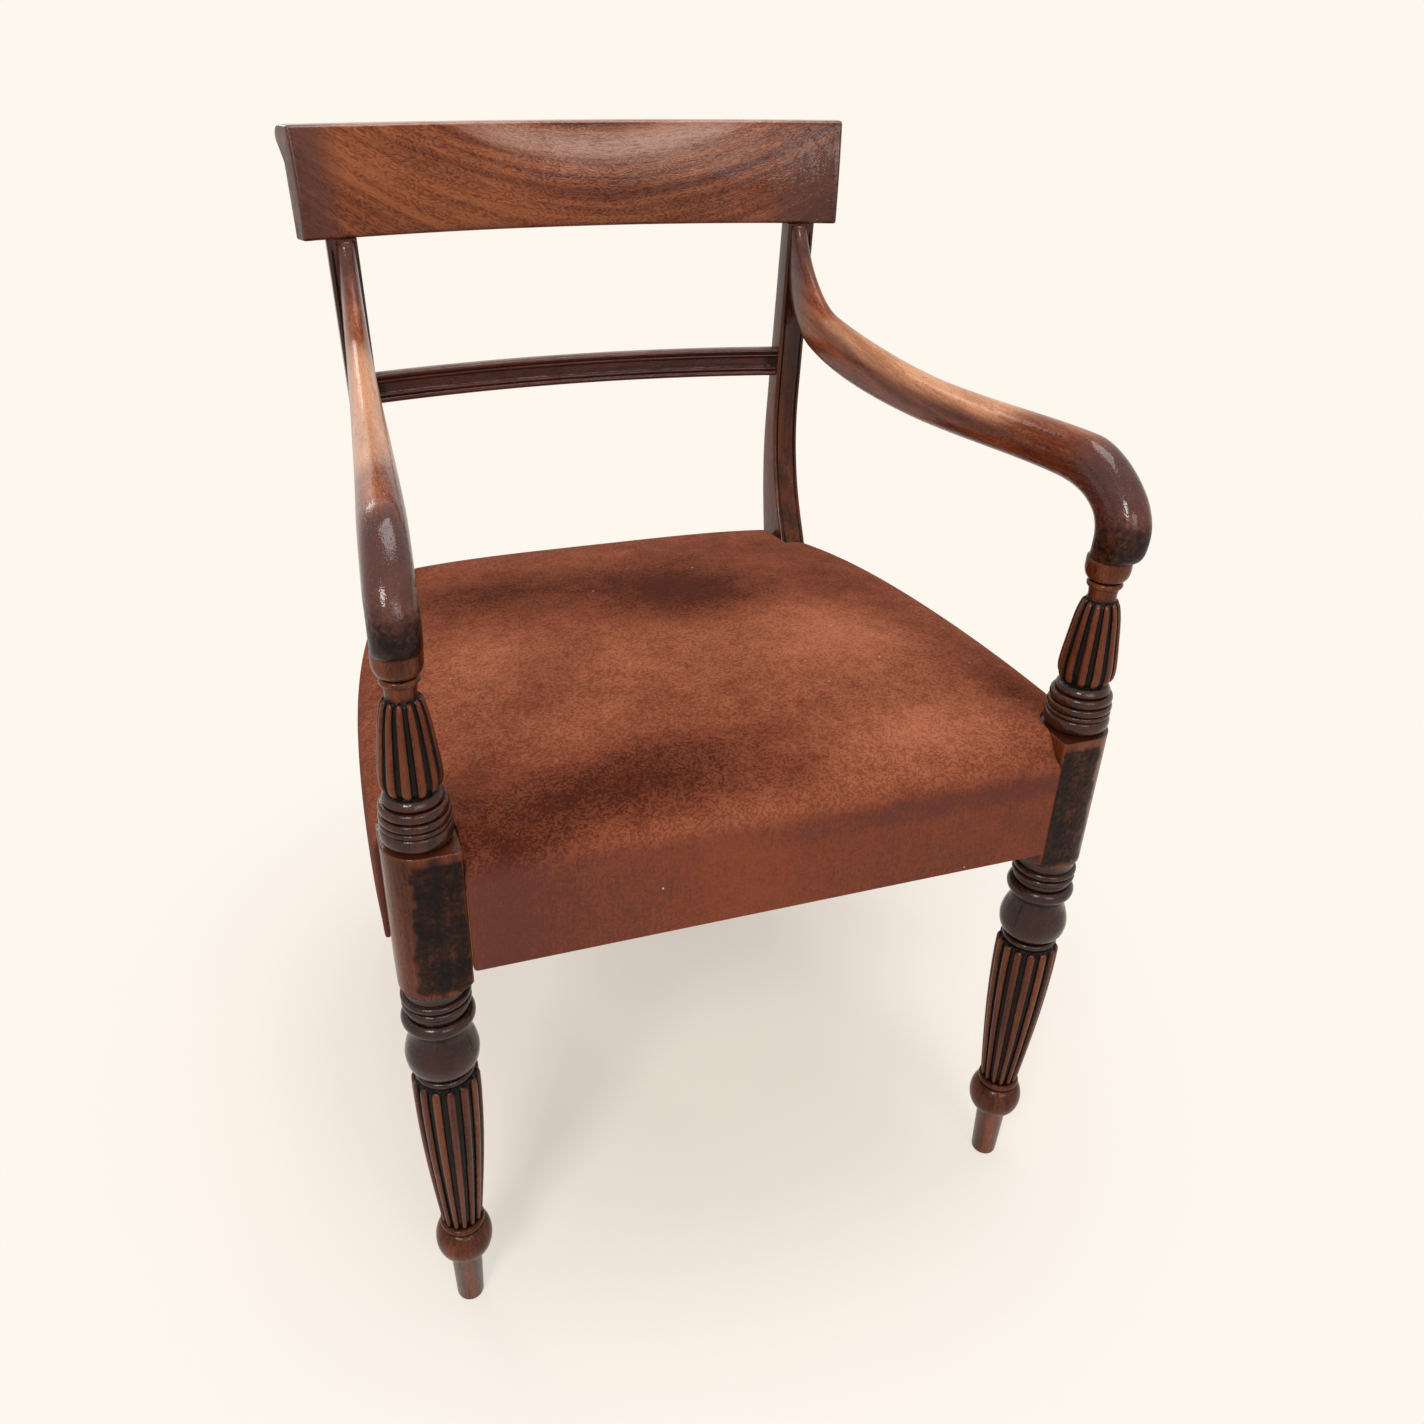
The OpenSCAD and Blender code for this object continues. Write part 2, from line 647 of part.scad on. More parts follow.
// Arm: rings between an upper and a lower edge, seen from the side.
// Depths run from the nose to the post and heights from the cup to the crest rail.
arm_rise = crest_z - cup_top_z;
function arm_pt(run, rise) = [run * back_run, cup_top_z + rise * arm_rise];
arm_upper = [
    [arm_pt(0.985, 0.984), arm_pt(0.957, 0.771), arm_pt(0.888, 0.585), arm_pt(0.8335, 0.548)],
    [arm_pt(0.8335, 0.548), arm_pt(0.779, 0.511), arm_pt(0.598, 0.438), arm_pt(0.4586, 0.438)],
    [arm_pt(0.4586, 0.438), arm_pt(0.329, 0.438), arm_pt(0.19, 0.48), arm_pt(0.08, 0.48)],
    [arm_pt(0.08, 0.48), arm_pt(0.028, 0.48), [-arm_nose, cup_top_z + 0.3 * arm_rise],
        [-arm_nose, cup_top_z + 22]],
    [[-arm_nose, cup_top_z + 22], [-arm_nose, cup_top_z + 11], [2 - arm_nose, cup_top_z + 4],
        [8 - arm_nose, cup_top_z]]
];
arm_heel = 12.5;
arm_lower = [
    [arm_pt(1.045, 0.984), arm_pt(1.041, 0.639), arm_pt(0.997, 0.376), arm_pt(0.901, 0.301)],
    [arm_pt(0.901, 0.301), arm_pt(0.806, 0.219), arm_pt(0.678, 0.194), arm_pt(0.548, 0.194)],
    [arm_pt(0.548, 0.194), arm_pt(0.399, 0.194), arm_pt(0.239, 0.251), arm_pt(0.124, 0.251)],
    [arm_pt(0.124, 0.251), arm_pt(0.066, 0.251), [arm_heel, cup_top_z + 0.2 * arm_rise], [arm_heel, cup_top_z + 12]],
    [[arm_heel, cup_top_z + 12], [arm_heel, cup_top_z + 8], [arm_heel, cup_top_z + 4], [arm_heel, cup_top_z]]
];
arm_steps = [9, 7, 5, 9, 3];
arm_widths = [arm_tip_w, (arm_tip_w + arm_mid_w) / 2, arm_mid_w, (arm_mid_w + arm_end_w) / 2 + 0.5, arm_end_w, arm_end_w];
// Each station is [upper point, lower point, half width].
arm_stations = [
    for (k = [0:4], i = [0:arm_steps[k] - (k < 4 ? 1 : 0)])
        let (t = i / arm_steps[k])
        [bezier(arm_upper[k], t), bezier(arm_lower[k], t), arm_widths[k] + (arm_widths[k + 1] - arm_widths[k]) * t]
];
// Distance of the arm's middle line from the middle of the chair at depth y.
function arm_x(y) = leg_x - arm_x_run * pow(max(0, y) / back_run, 0.9);
function power_sign(v, e) = sign(v) * pow(abs(v), e);
arm_ring_n = 20;
arm_soft = 0.88;

function arm_ring(st, shrink) =
    let (c = (st[0] + st[1]) / 2, d = (st[0] - st[1]) / 2)
    [
        for (i = [0:arm_ring_n - 1])
            let (
                a = 360 * i / arm_ring_n,
                q = c + d * shrink * power_sign(sin(a), arm_soft)
            )
            [arm_x(c[0]) + st[2] * shrink * power_sign(cos(a), arm_soft), q[0], q[1]]
    ];

module arm_shape() {
    last = len(arm_stations) - 1;
    tip = arm_stations[0];
    rise = [0, 1.6];
    difference() {
        loft(concat(
            [arm_ring([tip[0] + rise, tip[1] + rise, tip[2]], 0.86)],
            [for (i = [0:last - 1]) arm_ring(arm_stations[i], 1)],
            [arm_ring(arm_stations[last], 0.95)]
        ));
        // The flat that lies on the post
        translate([0, back_run, cup_top_z]) cube([leg_x + 60, 60, arm_rise + 60]);
        // The bore for the leg's spigot
        translate([leg_x, 0, cup_top_z - 1]) cylinder(h = spigot_h + joint_gap + 1.5, r = spigot_r + joint_gap);
        arm_screw_shape(joint_gap);
    }
}

module arm_right() {
    color(mahogany) arm_shape();
}

module arm_left() {
    color(mahogany) mirrored_x() arm_shape();
}

module arm_screws() {
    color(iron) {
        arm_screw_shape(0);
        mirrored_x() arm_screw_shape(0);
    }
}

module arm_plug() {
    translate([arm_screw_x, post_back_x + 0.3, arm_screw_z]) rotate([90, 0, 0])
        cylinder(h = plug_l, r = arm_screw_head_r);
}

module arm_screw_plugs() {
    color(dark_mahogany) {
        arm_plug();
        mirrored_x() arm_plug();
    }
}

// Seat rails
module rail_tenon(x, y, w, d) {
    translate([x, y, tenon_low_z]) cube([w, d, tenon_h]);
}

module seat_rail_front() {
    half = leg_x - block_w / 2;
    color(beech) difference() {
        union() {
            translate([-half, -block_w / 2, rail_bottom_z]) cube([2 * half, rail_t, rail_h]);
            for (side = [-1, 1])
                rail_tenon(side > 0 ? half - 1 : -half - tenon_l, front_tenon_y, tenon_l + 1, tenon_t);
        }
        corner_screws_all(joint_gap);
    }
}

module seat_rail_back() {
    half = post_gap / 2;
    color(beech) difference() {
        union() {
            translate([-half, back_rail_y, rail_bottom_z]) cube([2 * half, rail_t, rail_h]);
            for (side = [-1, 1])
                rail_tenon(side > 0 ? half - 1 : -half - tenon_l, back_tenon_y - tenon_t / 2, tenon_l + 1, tenon_t);
        }
        corner_screws_all(joint_gap);
    }
}

rail_inset = cover_t + soft_gap + 0.7;
function side_out(y) = seat_half(y) - rail_inset;
function side_in(y) = side_out(y) - rail_t;

module seat_rail_side() {
    y0 = block_w / 2;
    ys = [for (i = [0:12]) y0 + (side_end_y - y0) * i / 12];
    difference() {
        union() {
            translate([0, 0, rail_bottom_z]) linear_extrude(rail_h) polygon(concat(
                [for (y = ys) [side_out(y), y]],
                [for (i = [12:-1:0]) [side_in(ys[i]), ys[i]]]
            ));
            rail_tenon(leg_x + side_tenon_in - tenon_t / 2, y0 - tenon_l, tenon_t, tenon_l + 1);
            rail_tenon(post_tenon_x - tenon_t / 2, side_end_y - 1, tenon_t, tenon_l + 1);
        }
        corner_screws(joint_gap);
    }
}

module seat_rail_right() {
    color(beech) seat_rail_side();
}

module seat_rail_left() {
    color(beech) mirrored_x() seat_rail_side();
}

// Corner blocks bridge each pair of rails behind the leg or in front of the post.
corner_z = rail_bottom_z + (rail_h - corner_h) / 2;
corner_reach_x = 60;
corner_reach_y = 60;
front_in_y = rail_t - block_w / 2;
seam = joint_gap;

module corner_front_outline() {
    x0 = leg_x - block_w / 2;
    y0 = block_w / 2;
    polygon([
        [x0 - corner_reach_x, front_in_y + seam], [x0 - seam, front_in_y + seam], [x0 - seam, y0 + seam],
        [side_in(y0) - seam, y0 + seam], [side_in(y0 + corner_reach_y) - seam, y0 + corner_reach_y],
        [side_in(y0 + corner_reach_y) - 14, y0 + corner_reach_y], [x0 - corner_reach_x, front_in_y + 14]
    ]);
}

module corner_back_outline() {
    x0 = post_gap / 2;
    y1 = side_end_y;
    polygon([
        [x0 - corner_reach_x, back_rail_y - seam], [x0 - corner_reach_x, back_rail_y - 14],
        [side_in(y1 - 50) - 14, y1 - 50], [side_in(y1 - 50) - seam - 0.3, y1 - 50],
        [min(x0, side_in(y1)) - seam, y1 - 1], [x0 - seam, back_rail_y - seam]
    ]);
}

// Screws of one side, each from its block into a rail: [head x, head y, turn].
front_screw_depth = 30;
corner_screw_list = [
    [leg_x - block_w / 2 - 24, front_in_y + front_screw_depth, 90],
    [side_in(block_w / 2 + 34) - front_screw_depth + 3, block_w / 2 + 34, 180],
    [post_gap / 2 - 26, back_rail_y - front_screw_depth, -90],
    [side_in(side_end_y - 32) - front_screw_depth + 3, side_end_y - 32, 180]
];
screw_head_r = screw_r * 1.9;
screw_head_h = 2.6;

// A screw that lies along the turn, pointing away from its head, with a free way behind the head when drilled.
module corner_screw(s, gap) {
    translate([s[0], s[1], corner_z + corner_h / 2]) rotate([0, 0, s[2] + 180]) rotate([0, 90, 0]) {
        cylinder(h = screw_l + gap, r = screw_r + gap);
        translate([0, 0, gap > 0 ? -60 : 0])
            cylinder(h = screw_head_h + (gap > 0 ? 60 + gap : 0), r = screw_head_r + gap);
    }
}

module corner_screws(gap) {
    for (s = corner_screw_list) corner_screw(s, gap);
}

module corner_screws_all(gap) {
    corner_screws(gap);
    mirrored_x() corner_screws(gap);
}

module corner_block(front) {
    difference() {
        translate([0, 0, corner_z]) linear_extrude(corner_h) {
            if (front) corner_front_outline();
            else corner_back_outline();
        }
        corner_screws(joint_gap);
    }
}

module corner_block_front_right() {
    color(beech) corner_block(true);
}

module corner_block_front_left() {
    color(beech) mirrored_x() corner_block(true);
}

module corner_block_back_right() {
    color(beech) corner_block(false);
}

module corner_block_back_left() {
    color(beech) mirrored_x() corner_block(false);
}

module corner_block_screws() {
    color(iron) corner_screws_all(0);
}

// Webbing strips lie across the tops of the rails.
web_in = 7;
web_xs = [for (k = [-2:2]) k * web_pitch];
web_y0 = -block_w / 2 + web_in;
web_y1 = back_rail_y + rail_t - web_in;
web_mid_y = crown_y - 8;
web_ys = [for (k = [-2:2]) web_mid_y + k * web_pitch];
function web_half(y) = side_out(y + web_w / 2) - web_in;
web_side_z = web_z + web_t + joint_gap;

module webbing_front_to_back() {
    color(jute) for (x = web_xs)
        translate([x - web_w / 2, web_y0, web_z]) cube([web_w, web_y1 - web_y0, web_t]);
}

module webbing_side_to_side() {
    color(jute) for (y = web_ys)
        translate([-web_half(y), y - web_w / 2, web_side_z]) cube([2 * web_half(y), web_w, web_t]);
}

module tack(x, y, z) {
    translate([x, y, z]) cylinder(h = tack_h, r = tack_r, $fn = 24);
}

module webbing_tacks() {
    at = [-web_w / 3, 0, web_w / 3];
    color(iron) {
        for (x = web_xs, dx = at, y = [web_y0 + 8, web_y1 - 8]) tack(x + dx, y, web_z + web_t);
        for (y = web_ys, dy = at, side = [-1, 1]) tack(side * (web_half(y) - 8), y + dy, web_side_z + web_t);
    }
}

// Seat outline, half of it from the front to the back: [x, y, height of the straight side, kind].
// Kind 0 is an open side, 1 a full-height edge beside a leg or a post, and 2 a wall that stops above the rails.
edge_in = 1.5;
side_ys = [for (t = [0.06, 0.18, 0.3, 0.42, 0.54, 0.66, 0.78, 0.9]) notch_y + t * (side_end_y - notch_y)];
half_outline = concat(
    [for (t = [0, 0.28, 0.56, 0.84]) [t * notch_x, cover_front_y, side_top_z, 0]],
    [[notch_x - 9, cover_front_y, side_top_z, 0], [notch_x - edge_in, cover_front_y, side_top_z, 1]],
    [[notch_x, cover_front_y + edge_in, side_top_z + 1, 2], [notch_x, notch_y, side_top_z + 18, 2]],
    [[seat_half(notch_y) - edge_in, notch_y, side_top_z + 5, 2]],
    [[seat_half(notch_y + edge_in), notch_y + edge_in, side_top_z + 4, 1]],
    [for (y = side_ys) [seat_half(y), y, side_top_z, 0]],
    [[seat_half(side_end_y - edge_in), side_end_y - edge_in, side_top_z, 1]],
    [[seat_half(side_end_y) - edge_in, side_end_y, side_top_z + 1, 2]],
    [[post_notch_x, side_end_y, side_top_z + 8, 2], [post_notch_x, cover_back_y - edge_in, side_top_z + 2, 2]],
    [[post_notch_x - edge_in, cover_back_y, side_top_z, 1]],
    [for (t = [0.93, 0.66, 0.33, 0]) [t * post_notch_x, cover_back_y, side_top_z, 0]]
);
outline = concat(half_outline, [for (i = [len(half_outline) - 2:-1:1])
    [-half_outline[i][0], half_outline[i][1], half_outline[i][2], half_outline[i][3]]]);
outline_n = len(outline);

function unit2(v) = v / norm(v);
// Outward normal of the outline's edge from point i.
function edge_out(i) =
    let (a = outline[i % outline_n], b = outline[(i + 1) % outline_n], d = unit2([b[0] - a[0], b[1] - a[1]]))
    [d[1], -d[0]];
// The outline's point i drawn in by inset, square to both its edges.
function inset_pt(i, inset) =
    let (m = edge_out(i + outline_n - 1), n = edge_out(i), k = (m + n) / (1 + m * n))
    [outline[i][0] - k[0] * inset, outline[i][1] - k[1] * inset];

notch_low = rail_top_z + soft_gap;
hem_turn = cover_t + 0.4;
function level_ring(inset, z) = [for (i = [0:outline_n - 1]) concat(inset_pt(i, inset), [z])];
// The cover's lower edge, lift above its underside: turned in under the rails only along the open sides.
function hem_ring(inset, lift) = [
    for (i = [0:outline_n - 1])
        let (k = outline[i][3])
        concat(inset_pt(i, k == 0 ? inset : min(inset, hem_turn)), [(k == 2 ? notch_low : hem_z) + lift])
];
// The belly of the sides, halfway up.
function belly_ring(swell) = [
    for (i = [0:outline_n - 1])
        let (k = outline[i][3], low = k == 2 ? notch_low : hem_z)
        concat(inset_pt(i, k == 0 ? -swell : 0), [low + 0.6 * (outline[i][2] - low)])
];

roll_share = 0.1;
shoulder_z = side_top_z + edge_rise;
crown_half_x = 0.895 * seat_half_w;
crown_half_y = crown_y - cover_front_y;
// Distance of a rounded square from the crown's middle in the direction of v.
function round_square(v) =
    let (d = unit2(v))
    pow(pow(abs(d[0]) / crown_half_x, 4) + pow(abs(d[1]) / crown_half_y, 4), -0.25);
// A ring at share s of the way from the crown's middle to the outline, sunk by depth.
// Its shape goes from the outline to a rounded square as it closes in on the middle.
function top_ring(s, inset, sink) = [
    for (i = [0:outline_n - 1])
        let (
            p = inset_pt(i, inset) - [0, crown_y],
            low = outline[i][2],
            u = min(1, (1 - s) / roll_share),
            roll = low + (shoulder_z - low) * sqrt(1 - pow(1 - u, 2)),
            crown = s < 1 - roll_share ? crown_rise * (1 - pow(s / (1 - roll_share), 2.2)) : 0,
            own = max(0, 1 - (1 - s) / 0.3),
            q = own * p + (1 - own) * unit2(p) * round_square(p),
            fall = corner_fall * pow(abs(q[0] * s) / seat_half_w, 4) * pow(max(0, q[1] * s) / crown_half_y, 4)
        )
        [q[0] * s, crown_y + q[1] * s, roll + crown - fall - sink]
];

// Closed top over the last of m rings of n points, and closed underside of the first, each round one point.
function top_fan(n, m, middle) = [for (i = [0:n - 1]) [(m - 1) * n + i, middle, (m - 1) * n + (i + 1) % n]];
function under_fan(n, middle) = [for (i = [0:n - 1]) [i, (i + 1) % n, middle]];
function reversed(f) = [for (i = [len(f) - 1:-1:0]) f[i]];

module seat_stuffing() {
    inset = cover_t + soft_gap;
    sink = cover_t + soft_gap;
    rings = [
        level_ring(inset + 0.6, stuffing_z),
        top_ring(1, inset, 0),
        top_ring(0.98, inset, sink),
        top_ring(0.95, inset, sink),
        top_ring(0.9, inset, sink),
        top_ring(0.75, inset, sink),
        top_ring(0.55, inset, sink),
        top_ring(0.3, inset, sink)
    ];
    n = outline_n;
    m = len(rings);
    top = [0, crown_y, shoulder_z + crown_rise - sink];
    bottom = [0, crown_y, stuffing_z];
    color(linen) polyhedron(
        concat(flat(rings), [top, bottom]),
        concat(side_faces(n, m), top_fan(n, m, m * n), under_fan(n, m * n + 1)),
        convexity = 6
    );
}

cover_outer_shares = [1, 0.985, 0.965, 0.94, 0.9, 0.8, 0.65, 0.45, 0.22];
cover_inner_shares = [1, 0.965, 0.9, 0.8, 0.65, 0.45, 0.22];

module seat_cover() {
    outer = concat(
        [hem_ring(turn_under, 0), hem_ring(1, 0), hem_ring(0, 1.5), belly_ring(cover_swell)],
        [for (s = cover_outer_shares) top_ring(s, 0, 0)]
    );
    inner = concat(
        [hem_ring(turn_under, cover_t), hem_ring(cover_t, cover_t)],
        [for (s = cover_inner_shares) top_ring(s, cover_t, s == 1 ? 0 : cover_t)]
    );
    n = outline_n;
    mo = len(outer);
    mi = len(inner);
    top = [0, crown_y, shoulder_z + crown_rise];
    under = top - [0, 0, cover_t];
    first_inner = mo * n + 1;
    hem_faces = [
        for (i = [0:n - 1], half = [0, 1])
            let (a = i, b = (i + 1) % n, c = first_inner + i, d = first_inner + (i + 1) % n)
            half == 0 ? [a, b, d] : [a, d, c]
    ];
    color(velvet) polyhedron(
        concat(flat(outer), [top], flat(inner), [under]),
        concat(
            side_faces(n, mo),
            top_fan(n, mo, mo * n),
            [for (f = concat(side_faces(n, mi), top_fan(n, mi, mi * n))) reversed([for (v = f) v + first_inner])],
            hem_faces
        ),
        convexity = 8
    );
}

module hessian() {
    in = cover_t + soft_gap + 4;
    half = concat(
        [[0, cover_front_y + in], [notch_x - in - 4, cover_front_y + in], [notch_x - in, notch_y + in]],
        [for (y = side_ys) [seat_half(y) - in, y]],
        [[post_notch_x - in, side_end_y - in], [post_notch_x - in - 4, cover_back_y - in], [0, cover_back_y - in]]
    );
    color(jute) translate([0, 0, hessian_z]) linear_extrude(hessian_t)
        polygon(concat(half, [for (i = [len(half) - 2:-1:1]) [-half[i][0], half[i][1]]]));
}

// Tacks hold the turned edge of the cover under the rails.
module cover_tacks() {
    in = turn_under / 2;
    z = hem_z - tack_h;
    xs = [for (k = [-6:6]) k * (notch_x - 40) / 6];
    back_xs = [for (k = [-4:4]) k * (post_notch_x - 40) / 4];
    ys = [for (k = [0:8]) notch_y + 45 + k * (side_end_y - notch_y - 90) / 8];
    color(iron) {
        for (x = xs) tack(x, cover_front_y + in, z);
        for (x = back_xs) tack(x, cover_back_y - in, z);
        for (y = ys, side = [-1, 1]) tack(side * (seat_half(y) - in), y, z);
    }
}

// The chair's own frame has its origin on the floor under the middle of its whole extent.
front_most = max(arm_nose, vase_r, cover_swell - cover_front_y);
origin_y = (back_y - front_most) / 2;

module placed() {
    translate([0, -origin_y, 0]) children();
}

placed() crest_rail();
placed() mid_rail();
placed() back_post_left();
placed() back_post_right();
placed() front_leg(-1);  // front_leg_left
placed() front_leg(1);  // front_leg_right
placed() arm_left();
placed() arm_right();
placed() seat_rail_front();
placed() seat_rail_back();
placed() seat_rail_left();
placed() seat_rail_right();
placed() corner_block_front_left();
placed() corner_block_front_right();
placed() corner_block_back_left();
placed() corner_block_back_right();
placed() corner_block_screws();
placed() arm_screws();
placed() arm_screw_plugs();
placed() webbing_front_to_back();
placed() webbing_side_to_side();
placed() webbing_tacks();
placed() hessian();
placed() seat_stuffing();
placed() seat_cover();
placed() cover_tacks();
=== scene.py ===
"""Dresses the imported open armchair: turned legs, scrolled arms, bent rails and a stuffed velvet seat.

Shapes are worked out in the chair's own millimetres: +Z is up, the front faces -Y, and depths are
counted from the axes of the front legs. Place turns them into the frame's metres.
"""
import logging
import math
from collections.abc import Callable, Iterable
from dataclasses import dataclass, field
from enum import Enum

import bpy
import numpy as np
from mathutils import Matrix, Vector
from mathutils.geometry import delaunay_2d_cdt


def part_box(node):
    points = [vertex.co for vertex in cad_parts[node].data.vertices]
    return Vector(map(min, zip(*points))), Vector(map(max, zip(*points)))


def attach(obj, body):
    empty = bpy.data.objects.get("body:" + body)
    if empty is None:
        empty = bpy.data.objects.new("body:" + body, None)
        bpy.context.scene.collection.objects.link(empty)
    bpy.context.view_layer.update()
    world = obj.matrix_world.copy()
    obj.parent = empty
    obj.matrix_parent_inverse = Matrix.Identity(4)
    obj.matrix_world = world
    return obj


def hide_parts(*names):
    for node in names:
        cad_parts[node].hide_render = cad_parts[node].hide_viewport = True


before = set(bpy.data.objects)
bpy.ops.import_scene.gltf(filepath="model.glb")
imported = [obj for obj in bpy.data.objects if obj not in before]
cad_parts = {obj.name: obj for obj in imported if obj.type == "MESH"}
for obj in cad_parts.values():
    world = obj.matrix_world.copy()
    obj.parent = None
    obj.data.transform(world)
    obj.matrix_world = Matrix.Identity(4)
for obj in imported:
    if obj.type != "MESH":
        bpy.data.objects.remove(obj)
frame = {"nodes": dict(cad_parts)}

log = logging.getLogger("armchair")
MM = 0.001
BODY = "root"
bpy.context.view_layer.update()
# Sizes that several pieces share: the front legs' axes, their block's top and their cup's top, the
# front of the back posts, the underside of the crest rail and the top of the seat rails.
LEG_X = 248.75
BLOCK_TOP = 473.0
CUP_TOP = 610.0
BACK_RUN = 501.5
CREST_Z = 769.6
RAIL_TOP = 441.0
Colour = tuple[float, float, float, float]
Points = list[tuple[float, float]]
Material = bpy.types.Material
Socket = bpy.types.NodeSocket


def tint(red: int, green: int, blue: int) -> Colour:
    """Returns a colour written as 0 to 255 screen values in the linear form that a shader reads."""
    shares = [value / 255 for value in (red, green, blue)]
    return (*(c / 12.92 if c <= 0.04045 else ((c + 0.055) / 1.055) ** 2.4 for c in shares), 1.0)


def smooth(values: np.ndarray | float, low: float = 0.0, high: float = 1.0) -> np.ndarray:
    """Returns 0 below low, 1 above high and an even rise between them."""
    t = np.clip((np.asarray(values, float) - low) / (high - low), 0, 1)
    return t * t * (3 - 2 * t)


def hump(values: np.ndarray, middle: float, spread: float) -> np.ndarray:
    """Returns a bell-shaped rise to 1 at middle."""
    return np.exp(-(((np.asarray(values, float) - middle) / spread) ** 2))


def power_sign(values: np.ndarray, power: float) -> np.ndarray:
    """Raises the size of each value to a power and keeps its sign."""
    return np.sign(values) * np.abs(values) ** power


class Side(Enum):
    """A side of the chair, seen from the front."""

    LEFT = -1
    RIGHT = 1

    @property
    def word(self) -> str:
        """Returns the side's name as pieces and nodes end in it."""
        return self.name.lower()


class GrainRun(Enum):
    """Where a wooden surface takes the run of its grain from."""

    STORED = "stored"
    ALONG_X = "x"
    ALONG_Y = "y"
    ALONG_Z = "z"


class Tree:
    """Adds nodes to a shader or geometry tree and joins their sockets."""

    def __init__(self, tree: bpy.types.NodeTree) -> None:
        """Starts on an existing tree."""
        self.tree = tree

    def node(self, kind: str, values: dict | None = None, **settings: object) -> bpy.types.Node:
        """Adds a node.

        Args:
            kind: The node's type name.
            values: Input names or numbers, with what goes into each.
            settings: Properties of the node itself.

        Returns:
            The new node.
        """
        made = self.tree.nodes.new(kind)
        for key, value in settings.items():
            setattr(made, key, value)
        self.fill(made, values or {})
        return made

    def fill(self, node: bpy.types.Node, values: dict) -> None:
        """Puts what goes into each of a node's inputs: another socket, or the input's own value."""
        for key, value in values.items():
            if isinstance(value, bpy.types.NodeSocket):
                self.tree.links.new(value, node.inputs[key])
            elif value is not None:
                node.inputs[key].default_value = value

    def place(self) -> Socket:
        """Returns the place on the object."""
        return self.node("ShaderNodeTexCoord").outputs["Object"]

    def stored(self, name: str, output: str = "Vector") -> Socket:
        """Returns what the mesh stores at each point."""
        return self.node("ShaderNodeAttribute", attribute_name=name).outputs[output]

    def parts(self, vector: Socket) -> list[Socket]:
        """Returns a vector's three parts."""
        return list(self.node("ShaderNodeSeparateXYZ", {0: vector}).outputs)

    def joined(self, x: object, y: object, z: object) -> Socket:
        """Returns a vector of three parts."""
        return self.node("ShaderNodeCombineXYZ", {0: x, 1: y, 2: z}).outputs[0]

    def math(self, operation: str, a: object, b: object = None, c: object = None) -> Socket:
        """Returns the result of a sum on numbers."""
        return self.node("ShaderNodeMath", {0: a, 1: b, 2: c}, operation=operation).outputs[0]

    def times(self, a: object, b: object) -> Socket:
        """Returns a times b."""
        return self.math("MULTIPLY", a, b)

    def minus(self, a: object, b: object) -> Socket:
        """Returns a less b."""
        return self.math("SUBTRACT", a, b)

    def line(self, a: object, slope: object, start: object) -> Socket:
        """Returns a times slope, plus start."""
        return self.math("MULTIPLY_ADD", a, slope, start)

    def most(self, a: object, b: object) -> Socket:
        """Returns the greater of a and b."""
        return self.math("MAXIMUM", a, b)

    def vector(self, operation: str, a: object, b: object = None) -> Socket:
        """Returns the result of a sum on vectors."""
        made = self.node("ShaderNodeVectorMath", {0: a, 1: b}, operation=operation)
        return made.outputs["Value" if operation == "LENGTH" else "Vector"]

    def noise(self, vector: Socket, scale: float, detail: float = 2.0, roughness: float = 0.5,
              output: str = "Fac") -> Socket:
        """Returns a noise read at the given place."""
        values = {"Vector": vector, "Scale": scale, "Detail": detail, "Roughness": roughness}
        return self.node("ShaderNodeTexNoise", values).outputs[output]

    def stretched(self, vector: Socket, scales: tuple[float, float, float], detail: float = 2.0,
                  roughness: float = 0.5) -> Socket:
        """Returns a noise with its own scale along each axis."""
        return self.noise(self.vector("MULTIPLY", vector, scales), 1.0, detail, roughness)

    def span(self, value: object, low: float, high: float, to_low: float = 0.0,
             to_high: float = 1.0) -> Socket:
        """Returns value carried from low..high to to_low..to_high, with soft ends."""
        values = {"Value": value, "From Min": low, "From Max": high, "To Min": to_low, "To Max": to_high}
        return self.node("ShaderNodeMapRange", values, interpolation_type="SMOOTHSTEP").outputs["Result"]

    def wander(self, value: object, *pushes: tuple[Socket, float]) -> Socket:
        """Returns value pushed up and down by noises, each with its amount."""
        for noise, amount in pushes:
            value = self.line(self.minus(noise, 0.5), amount, value)
        return value

    def mix(self, share: object, a: object, b: object) -> Socket:
        """Returns colour a blended with colour b by share."""
        made = self.node("ShaderNodeMix", data_type="RGBA")
        self.fill(made, {0: share, 6: a, 7: b})
        return made.outputs[2]

    def ramp(self, value: Socket, stops: dict[float, Colour]) -> Socket:
        """Returns a colour ramp's colour at value, from a colour at each stop."""
        made = self.node("ShaderNodeValToRGB", {"Fac": value})
        elements = made.color_ramp.elements
        while len(elements) < len(stops):
            elements.new(0.5)
        for element, (position, colour) in zip(elements, stops.items()):
            element.position = position
            element.color = colour
        return made.outputs["Color"]

    def worms(self, noise: Socket, turns: float) -> Socket:
        """Returns fine winding lines that follow the contours of a noise."""
        return self.math("ABSOLUTE", self.math("SINE", self.times(noise, math.pi * turns)))

    def specks(self, vector: Socket, scale: float, radius: float, share: float) -> Socket:
        """Returns 1 in small spots, in only a share of a cell pattern's cells."""
        cells = self.node("ShaderNodeTexVoronoi", {"Vector": vector, "Scale": scale}).outputs
        chosen = self.math("LESS_THAN", self.parts(cells["Color"])[0], share)
        return self.times(chosen, self.span(cells["Distance"], radius, radius * 0.6))

    def bump(self, height: Socket, strength: float, distance: float) -> Socket:
        """Returns a surface normal raised by a height."""
        values = {"Height": height, "Strength": strength, "Distance": distance}
        return self.node("ShaderNodeBump", values).outputs[0]


